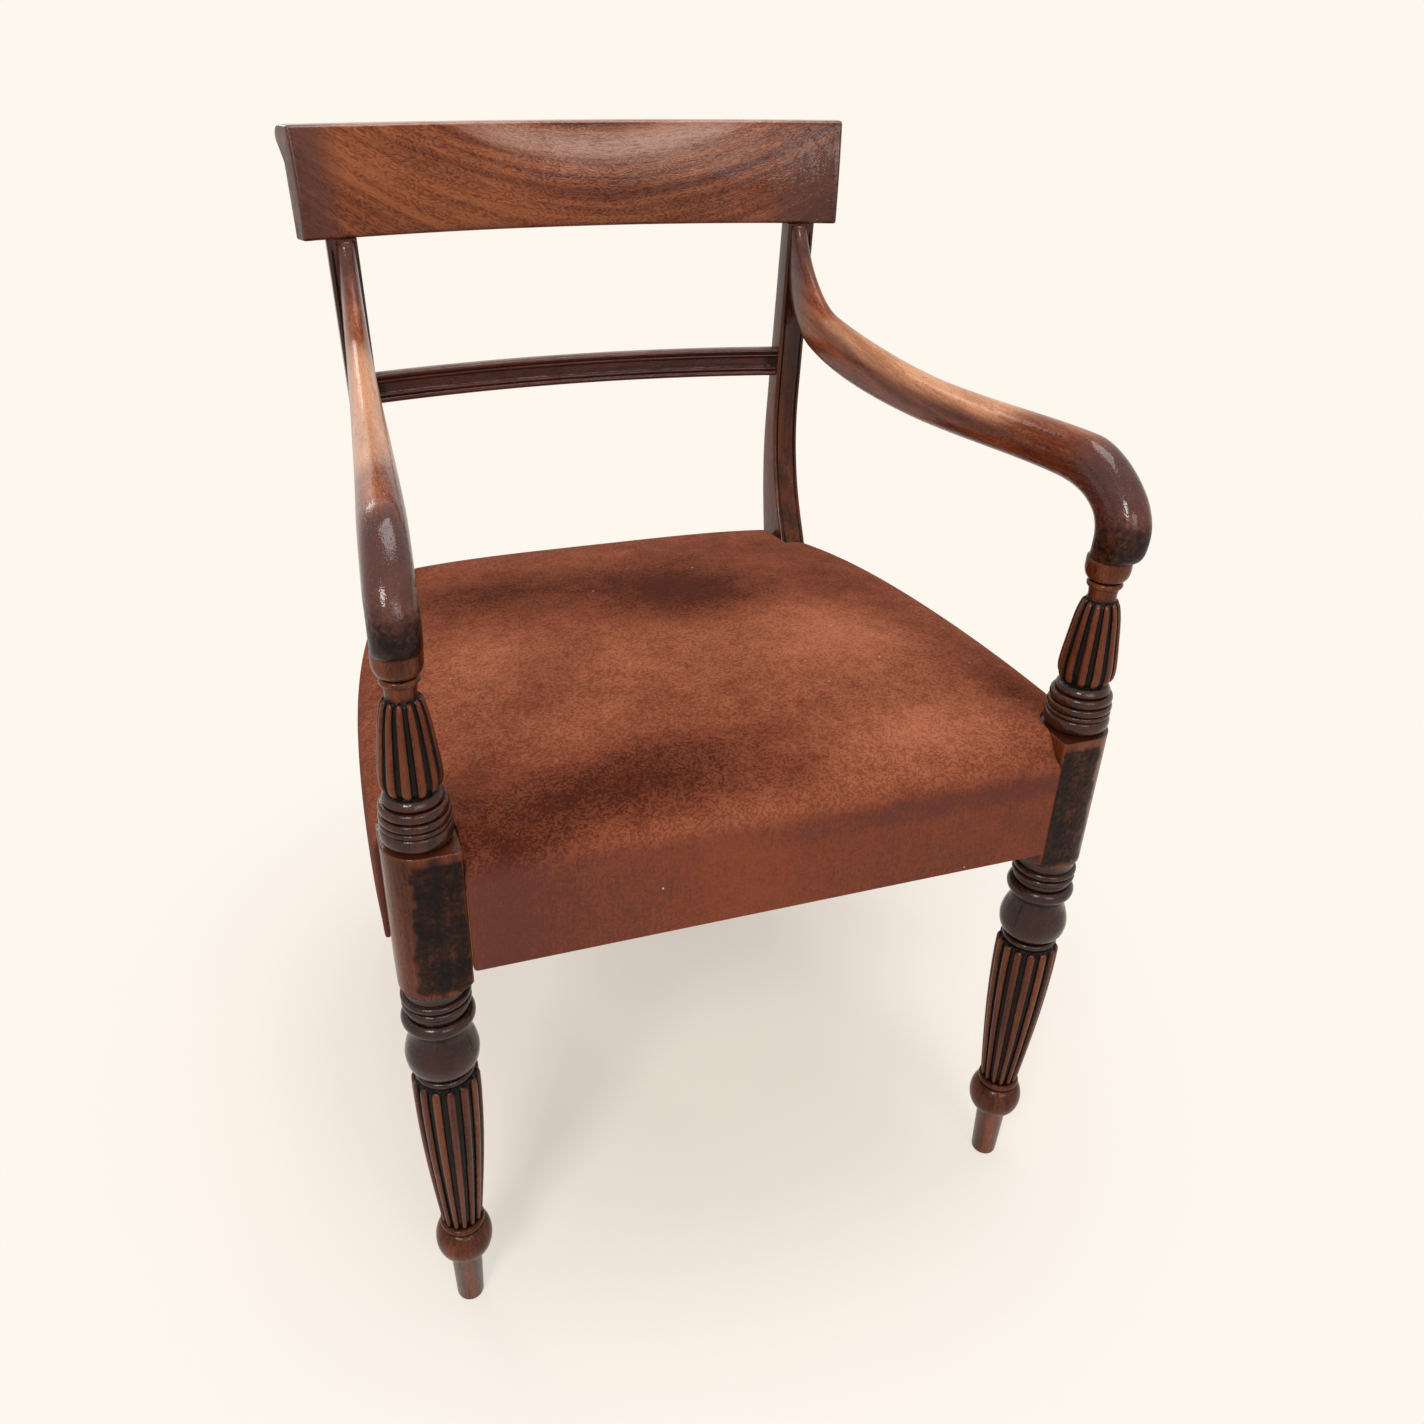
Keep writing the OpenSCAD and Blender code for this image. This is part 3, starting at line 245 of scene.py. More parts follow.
def new_material(name: str) -> tuple[Material, Tree, bpy.types.Node]:
    """Returns a new material, its tree, and its surface node."""
    material = bpy.data.materials.new(name)
    material.use_nodes = True
    return material, Tree(material.node_tree), material.node_tree.nodes["Principled BSDF"]


@dataclass(frozen=True)
class Wood:
    """Old waxed wood: streaked grain, pores, dents, dirt and painted shade in the hollows, wear and painted
    sheen on edges and tops, and a painted reflection on its glossier parts.
    """

    name: str
    deep: Colour
    middle: Colour
    pale: Colour
    # The last three colours are for worn spots and the painted sheen, for the painted reflection on glossy
    # parts, and for dirt and painted shade.
    worn_and_sheen: Colour
    gloss_and_reflection: Colour
    grime_and_shade: Colour
    run: GrainRun = GrainRun.STORED
    roughness: float = 0.3
    coat: float = 0.3
    hazy_coat: float = 1.9
    coat_roughness: float = 0.07
    level: float = 0.05
    figure: float = 46.0
    swirl: float = 0.16

    @classmethod
    def dyed(cls, name: str, *colours: tuple[int, int, int], **settings: object) -> Material:
        """Returns a wood finish whose six colours are written as screen values."""
        return cls(name, *(tint(*colour) for colour in colours), **settings).material()

    def grain_and_tone(self, tree: Tree) -> tuple[Socket, list[Socket]]:
        """Returns the place along, across and through the grain, and each point's dirt with painted shade,
        wear with painted sheen, and painted reflection with gloss.
        """
        if self.run is GrainRun.STORED:
            return tree.stored("grain"), tree.parts(tree.stored("tone"))
        place = tree.place()
        parts = tree.parts(place)
        order = {GrainRun.ALONG_X: (0, 2, 1), GrainRun.ALONG_Y: (1, 2, 0), GrainRun.ALONG_Z: (2, 0, 1)}
        level = tree.noise(place, 25.0)
        grain = tree.joined(*(parts[k] for k in order[self.run]))
        return grain, [tree.times(level, share) for share in (0.5, 0.4, 0.3)]

    def swayed(self, tree: Tree, grain: Socket) -> Socket:
        """Returns the grain's place with its lines swaying from side to side."""
        sway = tree.noise(tree.vector("MULTIPLY", grain, (4.0, 14.0, 14.0)), 1.0, output="Color")
        sway = tree.vector("MULTIPLY", tree.vector("SUBTRACT", sway, (0.5, 0.5, 0.5)), (0.0, 0.013, 0.013))
        return tree.vector("ADD", grain, sway)

    def rings(self, tree: Tree, grain: Socket) -> Socket:
        """Returns the year rings, as the trunk's cone cuts them."""
        pith = tree.vector("ADD", tree.vector("MULTIPLY", grain, (0.16, 1.0, 1.0)), (0.0, 0.021, -0.034))
        turns = tree.times(tree.vector("LENGTH", pith), 420.0)
        return tree.math("SINE", tree.wander(turns, (tree.stretched(grain, (7.0, 30.0, 30.0)), 7.0)))

    def material(self) -> Material:
        """Returns the finish as a material."""
        material, tree, surface = new_material(self.name)
        place = tree.place()
        stored, (grime_and_shade, wear_and_sheen, gloss_and_reflection) = self.grain_and_tone(tree)
        grain = self.swayed(tree, stored)
        streaks = tree.stretched(grain, (2.6, self.figure, self.figure), 5.0, 0.62)
        fine = tree.stretched(grain, (9.0, 360.0, 360.0), 3.0, 0.6)
        pores = tree.span(tree.stretched(grain, (60.0, 1500.0, 1500.0), 1.0), 0.6, 0.72)
        contours = tree.worms(tree.stretched(grain, (55.0, 150.0, 150.0), 1.5), 9.0)
        patches = tree.noise(place, 9.0, 3.0)
        lumps = tree.noise(place, 55.0)
        crumbs = tree.noise(place, 260.0, 2.0, 0.6)
        dents = tree.specks(place, 75.0, 0.075, 0.16)
        tone = tree.wander(0.5, (streaks, 1.2), (fine, 0.55), (patches, 0.45), (contours, self.swirl))
        tone = tree.line(self.rings(tree, grain), 0.07, tone)
        colour = tree.ramp(tone, {0.22: self.deep, 0.5: self.middle, 0.8: self.pale})
        # Worn spots and the painted sheen take the lighter worn colour.
        worn_and_sheen = tree.span(tree.wander(wear_and_sheen, (patches, 0.5), (streaks, 0.5)), 0.18, 0.95)
        worn_sheen_colour = tree.mix(tree.span(tone, 0.2, 0.75, 0.55, 0.0), self.worn_and_sheen, self.middle)
        colour = tree.mix(worn_and_sheen, colour, worn_sheen_colour)
        # The painted reflection: the next colour spreads over the glossy parts, which also get more coat
        # below.
        reflection_share = tree.span(tree.wander(gloss_and_reflection, (patches, 0.5), (streaks, 0.25)), 0.12, 0.95)
        colour = tree.mix(tree.times(reflection_share, 0.86), colour, self.gloss_and_reflection)
        colour = tree.mix(tree.times(pores, 0.45), colour, self.deep)
        # Dirt and painted shade in the hollows, and dents, darken the colour and dull the coat.
        soil_and_shade = tree.span(tree.wander(grime_and_shade, (crumbs, 0.5), (lumps, 0.35)), 0.16, 0.72)
        soil_and_shade = tree.most(soil_and_shade, tree.times(dents, 0.85))
        gloss = tree.span(gloss_and_reflection, 0.2, 0.75, self.coat, self.hazy_coat * self.coat)
        height = tree.line(contours, 0.09, tree.line(lumps, 1.0, tree.times(crumbs, 0.16)))
        normal = tree.bump(tree.minus(height, tree.times(tree.most(pores, dents), 0.25)), 0.5, 0.0009)
        tree.fill(surface, {
            "Base Color": tree.mix(soil_and_shade, colour, self.grime_and_shade),
            "Roughness": tree.line(soil_and_shade, 0.16, tree.wander(self.roughness, (patches, 0.16), (lumps, 0.1))),
            "Specular IOR Level": self.level,
            "Coat Weight": tree.times(gloss, tree.span(soil_and_shade, 0.1, 1.0, 1.0, 0.5)),
            "Coat Roughness": self.coat_roughness,
            "Normal": normal,
            "Coat Normal": normal,
        })
        return material


@dataclass(frozen=True)
class Velvet:
    """Worn velvet: soft patches where the pile lies another way, painted shade on its upright sides and in
    two bands, a crushed grain, and lint.
    """

    name: str = "worn_velvet"
    deep: Colour = tint(66, 27, 16)
    middle: Colour = tint(125, 66, 45)
    pale: Colour = tint(174, 106, 78)
    # A darker, pinker copy of the velvet for the upright sides: painted shade with painted sheen.
    side: Colour = tint(92, 52, 45)
    lint: Colour = tint(226, 178, 150)
    sheen: Colour = tint(232, 170, 146)

    def material(self) -> Material:
        """Returns the finish as a material."""
        material, tree, surface = new_material(self.name)
        place = tree.place()
        broad = tree.noise(place, 11.0, 4.0, 0.6)
        blotch = tree.noise(place, 48.0, 3.0, 0.6)
        crushed = tree.worms(tree.noise(place, 230.0, 1.5), 3.6)
        fuzz = tree.noise(place, 1500.0, 2.0, 0.7)
        combed = tree.stretched(place, (700.0, 700.0, 90.0), 2.0, 0.6)
        nap_and_shade = tree.stored("nap_and_shade", "Fac")
        tone = tree.wander(nap_and_shade, (broad, 0.5), (blotch, 0.42), (crushed, 0.28), (fuzz, 0.7))
        top = tree.ramp(tone, {0.05: self.deep, 0.5: self.middle, 0.95: self.pale})
        # The upright sides take the side colour, painted shade with painted sheen, combed upright.
        skirt = tree.mix(tree.span(tree.wander(tone, (combed, 0.7)), 0.1, 0.9), self.side, self.middle)
        colour = tree.mix(tree.stored("upright", "Fac"), top, skirt)
        tree.fill(surface, {
            "Base Color": tree.mix(tree.specks(place, 66.0, 0.06, 0.15), colour, self.lint),
            "Roughness": tree.wander(0.9, (fuzz, 0.14)),
            "Specular IOR Level": 0.08,
            "Sheen Weight": 0.08,
            "Sheen Roughness": 0.4,
            "Sheen Tint": self.sheen,
            "Normal": tree.bump(tree.line(fuzz, 0.6, crushed), 0.5, 0.0005),
        })
        return material


@dataclass(frozen=True)
class Woven:
    """Plain woven jute, such as webbing and hessian, with uneven yarns."""

    name: str
    yarn: Colour
    shade: Colour
    pitch: float
    stripe: Colour | None = None

    def material(self) -> Material:
        """Returns the finish as a material."""
        material, tree, surface = new_material(self.name)
        place = tree.place()
        parts = tree.parts(place)
        over = [tree.math("SINE", tree.times(parts[axis], 2 * math.pi / self.pitch)) for axis in (0, 1)]
        slub = tree.stretched(place, (90.0, 700.0, 90.0), 3.0, 0.6)
        tone = tree.wander(tree.line(tree.times(*over), 0.32, 0.5), (slub, 0.8))
        colour = tree.mix(tree.span(tone, 0.1, 0.9), self.shade, self.yarn)
        colour = tree.mix(tree.span(tree.noise(place, 14.0, 3.0), 0.35, 0.7, 0.0, 0.4), colour, self.shade)
        if self.stripe:
            band = tree.span(tree.math("ABSOLUTE", parts[0]), 0.0, 0.001)
            colour = tree.mix(tree.times(band, 0.12), colour, self.stripe)
        tree.fill(surface, {
            "Base Color": colour,
            "Roughness": tree.wander(0.9, (slub, 0.1)),
            "Specular IOR Level": 0.15,
            "Normal": tree.bump(tone, 0.7, 0.0006),
        })
        return material


@dataclass(frozen=True)
class Iron:
    """Blackened iron with a little rust."""

    name: str = "blackened_iron"
    bare: Colour = tint(96, 92, 90)
    rust: Colour = tint(92, 58, 40)

    def material(self) -> Material:
        """Returns the finish as a material."""
        material, tree, surface = new_material(self.name)
        rust = tree.span(tree.noise(tree.place(), 420.0, 3.0, 0.6), 0.45, 0.65)
        tree.fill(surface, {
            "Base Color": tree.mix(rust, self.bare, self.rust),
            "Roughness": tree.line(rust, 0.4, 0.42),
            "Metallic": 0.8,
            "Normal": tree.bump(rust, 0.3, 0.0003),
        })
        return material


@dataclass(frozen=True)
class Finishes:
    """Every finish of the chair, made once."""

    crest: Material
    arm: Material
    leg: Material
    dark: Material
    plug: Material
    rail_x: Material
    rail_y: Material
    velvet: Material
    webbing: Material
    hessian: Material
    iron: Material

    @classmethod
    def make(cls) -> "Finishes":
        """Makes the finishes. A wood's colours are deep, middle and pale for the grain, then one for worn
        spots and the painted sheen, one for the painted reflection, and one for grime and painted shade.
        """
        dark_dirt_and_shade = (15, 8, 6)
        beech = (142, 104, 66), (176, 138, 96), (204, 170, 128), (200, 168, 128), (150, 116, 82), (92, 66, 44)
        raw = dict(roughness=0.6, coat=0.0, level=0.3)
        return cls(
            # The crest's and the arms' worn colours are largely painted sheen, and their purplish fifth
            # colours painted reflections.
            crest=Wood.dyed("crest_mahogany", (76, 32, 15), (114, 58, 32), (150, 86, 52), (168, 130, 116),
                            (68, 32, 28), dark_dirt_and_shade, swirl=0.36),
            arm=Wood.dyed("arm_mahogany", (72, 28, 12), (116, 54, 28), (156, 92, 56), (214, 154, 116),
                          (68, 40, 40), dark_dirt_and_shade, figure=38.0),
            leg=Wood.dyed("leg_mahogany", (44, 16, 6), (84, 37, 16), (120, 62, 31), (112, 55, 30),
                          (28, 11, 8), dark_dirt_and_shade, figure=60.0),
            dark=Wood.dyed("dark_mahogany", (44, 14, 10), (78, 34, 25), (108, 54, 40), (140, 88, 70),
                           (44, 18, 16), dark_dirt_and_shade),
            plug=Wood.dyed("plug_mahogany", (40, 16, 12), (70, 32, 24), (96, 50, 38), (110, 66, 50),
                           (44, 24, 24), dark_dirt_and_shade, run=GrainRun.ALONG_Z),
            rail_x=Wood.dyed("beech_across", *beech, run=GrainRun.ALONG_X, **raw),
            rail_y=Wood.dyed("beech_deep", *beech, run=GrainRun.ALONG_Y, **raw),
            velvet=Velvet().material(),
            webbing=Woven("jute_webbing", tint(190, 160, 114), tint(122, 96, 62), 0.0032,
                          tint(70, 60, 56)).material(),
            hessian=Woven("hessian_weave", tint(176, 146, 100), tint(104, 80, 50), 0.0046).material(),
            iron=Iron().material(),
        )


@dataclass(frozen=True)
class Place:
    """Turns the chair's working millimetres into the frame's metres, and back."""

    leg_axis_y: float

    @classmethod
    def from_frame(cls) -> "Place":
        """Finds the front legs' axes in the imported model."""
        low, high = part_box("front_leg_left")
        return cls((low.y + high.y) / 2)

    def metres(self, points: np.ndarray) -> np.ndarray:
        """Returns points of the chair in the frame."""
        return np.asarray(points, float) * MM + np.array([0.0, self.leg_axis_y, 0.0])

    def chair(self, points: np.ndarray) -> np.ndarray:
        """Returns points of the frame in the chair's millimetres."""
        return (points - np.array([0.0, self.leg_axis_y, 0.0])) / MM


def signed_volume(points: np.ndarray, faces: list[list[int]]) -> float:
    """Returns the volume inside a closed mesh, below zero if its faces point inwards."""
    total = 0.0
    for size in (3, 4):
        same = np.array([f for f in faces if len(f) == size], int)
        for k in range(1, size - 1):
            if len(same):
                a, b, c = (points[same[:, i]] for i in (0, k, k + 1))
                total += float(np.einsum("ij,ij->i", a, np.cross(b, c)).sum())
    return total / 6


def add_object(name: str, data: bpy.types.ID) -> bpy.types.Object:
    """Makes an object of its data and adds it to the scene."""
    made = bpy.data.objects.new(name, data)
    bpy.context.scene.collection.objects.link(made)
    return made


def mesh_object(name: str, points: np.ndarray, faces: list[list[int]], material: Material,
                marks: dict[str, np.ndarray] | None = None) -> bpy.types.Object:
    """Makes an object of a closed mesh, with its faces turned outwards.

    Args:
        name: The piece's name.
        points: Its points in metres.
        faces: Its triangles and quads.
        material: Its finish.
        marks: Numbers or vectors at each point, for the finish to read.

    Returns:
        The new object, linked to the scene.
    """
    if signed_volume(points, faces) < 0:
        faces = [f[::-1] for f in faces]
    mesh = bpy.data.meshes.new(name)
    mesh.from_pydata(points.tolist(), [], faces)
    mesh.materials.append(material)
    for key, values in (marks or {}).items():
        write_mark(mesh, key, values)
    return add_object(name, mesh)


def write_mark(mesh: bpy.types.Mesh, key: str, values: np.ndarray) -> None:
    """Stores a number or a vector at each point of a mesh."""
    vector = values.ndim == 2
    kind = "FLOAT_VECTOR" if vector else "FLOAT"
    mark = mesh.attributes.get(key) or mesh.attributes.new(key, kind, "POINT")
    mark.data.foreach_set("vector" if vector else "value", values.astype(np.float32).ravel())


def read_mark(mesh: bpy.types.Mesh, key: str) -> np.ndarray:
    """Returns what write_mark or a node tree stored."""
    mark = mesh.attributes[key]
    vector = mark.data_type == "FLOAT_VECTOR"
    values = np.zeros(len(mesh.vertices) * (3 if vector else 1), np.float32)
    mark.data.foreach_get("vector" if vector else "value", values)
    return values.reshape(-1, 3) if vector else values


def mesh_points(mesh: bpy.types.Mesh) -> np.ndarray:
    """Returns a mesh's points."""
    values = np.zeros(len(mesh.vertices) * 3, np.float32)
    mesh.vertices.foreach_get("co", values)
    return values.reshape(-1, 3).astype(float)


def settle(piece: bpy.types.Object) -> None:
    """Turns a piece's modifiers into plain mesh."""
    graph = bpy.context.evaluated_depsgraph_get()
    solved = piece.evaluated_get(graph)
    mesh = bpy.data.meshes.new_from_object(solved, preserve_all_data_layers=True, depsgraph=graph)
    piece.modifiers.clear()
    piece.data = mesh
    mesh.name = piece.name


def finish_piece(piece: bpy.types.Object, slot: str, *nodes: str,
                 sharp: float | None = 38.0) -> bpy.types.Object:
    """Shades a piece, lets it ride on the chair's body and names what it stands for."""
    piece.data.shade_smooth()
    if sharp is not None:
        piece.data.set_sharp_from_angle(angle=math.radians(sharp))
    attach(piece, BODY)
    if nodes:
        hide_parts(*nodes)
    stands_for = ", ".join(nodes) or "nothing"
    log.info("%s: %d faces, stands for %s", piece.name, len(piece.data.polygons), stands_for)
    return piece


def ring_faces(count: int, around: int) -> list[list[int]]:
    """Returns the quads between closed rings of points that are counted one ring after another."""
    index = np.arange(count * around).reshape(count, around)
    after = np.roll(index, -1, axis=1)
    return np.stack([index[:-1], after[:-1], after[1:], index[1:]], -1).reshape(-1, 4).tolist()


@dataclass
class Shell:
    """A closed shell through rings of points, with what its finish reads at every point."""

    rings: np.ndarray
    grain: np.ndarray
    tone: np.ndarray

    def build(self, name: str, place: Place, material: Material,
              marks: dict[str, np.ndarray] | None = None) -> bpy.types.Object:
        """Makes the shell, closed at both ends round one middle point each.

        Args:
            name: The piece's name.
            place: Where the chair stands in the frame.
            material: The finish.
            marks: More numbers at each point of each ring.

        Returns:
            The new object.
        """
        m, n = self.rings.shape[:2]
        first = [[m * n, (i + 1) % n, i] for i in range(n)]
        start = (m - 1) * n
        last = [[m * n + 1, start + i, start + (i + 1) % n] for i in range(n)]

        def with_ends(values: np.ndarray) -> np.ndarray:
            """Returns one row for each point, the two middle points last."""
            rows = values.reshape(m, n, -1)
            ends = rows[[0, -1]].mean(1)
            return np.concatenate([rows.reshape(m * n, -1), ends]).squeeze()

        points = place.metres(with_ends(self.rings))
        faces = ring_faces(m, n) + first + last
        stored = {"grain": self.grain, "tone": self.tone, **(marks or {})}
        stored = {key: with_ends(rows) for key, rows in stored.items()}
        return mesh_object(name, points, faces, material, stored)


def bead(z0: float, z1: float, r0: float, r1: float, steps: int = 14) -> Points:
    """Returns a half-round bead in a lathe outline, as heights and radii."""
    angles = np.linspace(0, math.pi, steps + 1)
    return [((z0 + z1) / 2 - (z1 - z0) / 2 * math.cos(a), r0 + (r1 - r0) * math.sin(a)) for a in angles]


def flowing(points: Points, steps: int = 4) -> Points:
    """Returns a smooth curve through the points, with some steps between each two."""
    p = np.array([points[0], *points, points[-1]], float)
    t = np.arange(steps)[:, None] / steps
    runs = [0.5 * (2 * b + (c - a) * t + (2 * a - 5 * b + 4 * c - d) * t ** 2
                   + (3 * b - a - 3 * c + d) * t ** 3)
            for a, b, c, d in zip(p, p[1:], p[2:], p[3:])]
    return [tuple(row) for row in np.concatenate([*runs, p[-1:]])]


def offsets(z: float, r: float, steps: Iterable[tuple[float, float]]) -> Points:
    """Returns the points at steps from a height and a radius."""
    return [(z + up, r + out) for up, out in steps]


def bezier(points: list[list[float]], shares: np.ndarray) -> np.ndarray:
    """Returns points at the given shares of a cubic curve with four control points."""
    p = np.asarray(points, float)
    t = np.asarray(shares, float)[:, None]
    return (1 - t) ** 3 * p[0] + 3 * t * (1 - t) ** 2 * p[1] + 3 * t * t * (1 - t) * p[2] + t ** 3 * p[3]


def softened(corners: Points, cut: float, steps: int = 4, angle: float = 25.0) -> np.ndarray:
    """Returns a closed outline with its sharp corners rounded.

    Args:
        corners: The outline's points.
        cut: How far from a corner its rounding starts, at most half an edge.
        steps: Points across each rounding, less one.
        angle: Corners that turn less than this many degrees stay.

    Returns:
        The new outline.
    """
    points = np.asarray(corners, float)
    points = points[np.linalg.norm(points - np.roll(points, 1, axis=0), axis=1) > 0.05]
    made = []
    for k, here in enumerate(points):
        before, after = points[k - 1] - here, points[(k + 1) % len(points)] - here
        a, b = np.linalg.norm(before), np.linalg.norm(after)
        turn = 180 - math.degrees(math.acos(np.clip(before @ after / (a * b), -1, 1)))
        if turn < angle:
            made.append(here)
            continue
        start = here + before / a * min(cut, a / 2.2)
        end = here + after / b * min(cut, b / 2.2)
        for t in np.linspace(0, 1, steps + 1):
            made.append((1 - t) ** 2 * start + 2 * t * (1 - t) * here + t * t * end)
    return np.array(made)


def inset_outline(outline: np.ndarray, distance: float) -> np.ndarray:
    """Returns a closed outline drawn in by distance along its points' own normals."""
    along = np.roll(outline, -1, axis=0) - np.roll(outline, 1, axis=0)
    along /= np.linalg.norm(along, axis=1)[:, None] + 1e-9
    area = float(np.cross(outline, np.roll(outline, -1, axis=0)).sum())
    inward = np.stack([-along[:, 1], along[:, 0]], 1) * (1 if area > 0 else -1)
    return outline + inward * distance


def arc(x: float, y: float, radius: float, start: float, end: float,
        count: int) -> tuple[np.ndarray, np.ndarray]:
    """Returns points on part of a circle, from its middle and its two angles in degrees."""
    turn = np.radians(np.linspace(start, end, count))
    return x + radius * np.cos(turn), y + radius * np.sin(turn)


def drawn_in(outline: np.ndarray, inset: np.ndarray | float, z: np.ndarray | float) -> np.ndarray:
    """Returns an outline drawn in by an inset, which each point may have its own of, and set at a height."""
    inward = inset_outline(outline, 1.0) - outline
    return np.column_stack([outline + inward * np.reshape(inset, (-1, 1)), np.broadcast_to(z, len(outline))])


class GeometryTree:
    """A geometry node tree with named inputs, which ends as real mesh in its finish."""

    def __init__(self, name: str, inputs: dict[str, str]) -> None:
        """Makes the tree's inputs and output.

        Args:
            name: The tree's name.
            inputs: Each input's name, with the kind of its socket.
        """
        self.group = bpy.data.node_groups.new(name, "GeometryNodeTree")
        face = self.group.interface
        for key, kind in {"Geometry": "Geometry", **inputs, "Finish": "Material"}.items():
            face.new_socket(key, in_out="INPUT", socket_type=f"NodeSocket{kind}")
        face.new_socket("Geometry", in_out="OUTPUT", socket_type="NodeSocketGeometry")
        self.tree = Tree(self.group)
        self.given = self.tree.node("NodeGroupInput").outputs

    def end(self, geometry: Socket) -> None:
        """Makes the result real, gives it its finish and hands it out."""
        real = self.tree.node("GeometryNodeRealizeInstances", {0: geometry}).outputs[0]
        values = {"Geometry": real, "Material": self.given["Finish"]}
        dressed = self.tree.node("GeometryNodeSetMaterial", values).outputs[0]
        self.tree.node("NodeGroupOutput", {0: dressed})

    def run(self, piece: bpy.types.Object, values: dict[str, object]) -> None:
        """Runs the tree on a piece, each input set by its socket's identifier, and keeps plain mesh."""
        modifier = piece.modifiers.new(self.group.name, "NODES")
        modifier.node_group = self.group
        for item in self.group.interface.items_tree:
            if item.item_type == "SOCKET" and item.in_out == "INPUT" and item.name in values:
                modifier[item.identifier] = values[item.name]
        settle(piece)


class Reeding(GeometryTree):
    """Carves reeds round the shaft and the baluster of a turned leg."""

    def __init__(self) -> None:
        """Builds the node tree."""
        super().__init__("reeding", {
            "Axis": "Vector", "Shaft reeds": "Float", "Shaft depth": "Float", "Baluster reeds": "Float",
            "Baluster depth": "Float", "Crown share": "Float",
        })
        tree, given = self.tree, self.given
        place = tree.node("GeometryNodeInputPosition").outputs[0]
        off = tree.vector("MULTIPLY", tree.vector("SUBTRACT", place, given["Axis"]), (1.0, 1.0, 0.0))
        x, y, _ = tree.parts(off)
        turn = tree.math("ARCTAN2", y, x)
        moved = sunk = 0.0
        for zone in ("Shaft", "Baluster"):
            values = {"Name": f"{zone.lower()}_end"}
            end = tree.node("GeometryNodeInputNamedAttribute", values, data_type="FLOAT").outputs[0]
            hollow = self.hollow(turn, given[f"{zone} reeds"], end)
            moved = tree.line(hollow, given[f"{zone} depth"], moved)
            sunk = tree.math("ADD", hollow, sunk)
        inwards = tree.vector("SCALE", tree.vector("NORMALIZE", off))
        tree.fill(inwards.node, {"Scale": tree.times(moved, -1.0)})
        values = {"Geometry": given["Geometry"], "Offset": inwards}
        carved = tree.node("GeometryNodeSetPosition", values).outputs[0]
        values = {"Geometry": carved, "Name": "sunk", "Value": sunk}
        store = tree.node("GeometryNodeStoreNamedAttribute", values, data_type="FLOAT", domain="POINT")
        self.end(store.outputs[0])

    def hollow(self, turn: Socket, reeds: Socket, end: Socket) -> Socket:
        """Returns how far each point lies below the crown of its reed, whose ends are rounded.

        Args:
            turn: The point's angle round the leg.
            reeds: The number of reeds.
            end: The nearness to a reed's end: 0 at the end, 1 well inside, -1 off the reeds.

        Returns:
            0 on a crown and off the reeds, 1 in a groove.
        """
        tree = self.tree
        count = tree.times(turn, tree.times(reeds, 0.5 / math.pi))
        across = tree.minus(tree.times(tree.math("FRACT", count), 2.0), 1.0)
        across = tree.math("DIVIDE", across, self.given["Crown share"])
        along = tree.minus(1.0, end)
        left = tree.minus(tree.minus(1.0, tree.times(across, across)), tree.times(along, along))
        relief = tree.math("SQRT", tree.most(left, 0.0))
        return tree.times(tree.minus(1.0, relief), tree.math("GREATER_THAN", end, -0.5))


class Turning(Enum):
    """What a length of a front leg is: plain turned, a reeded length, or the square block."""

    PLAIN = 0
    SHAFT = 1
    BALUSTER = 2
    BLOCK = 3


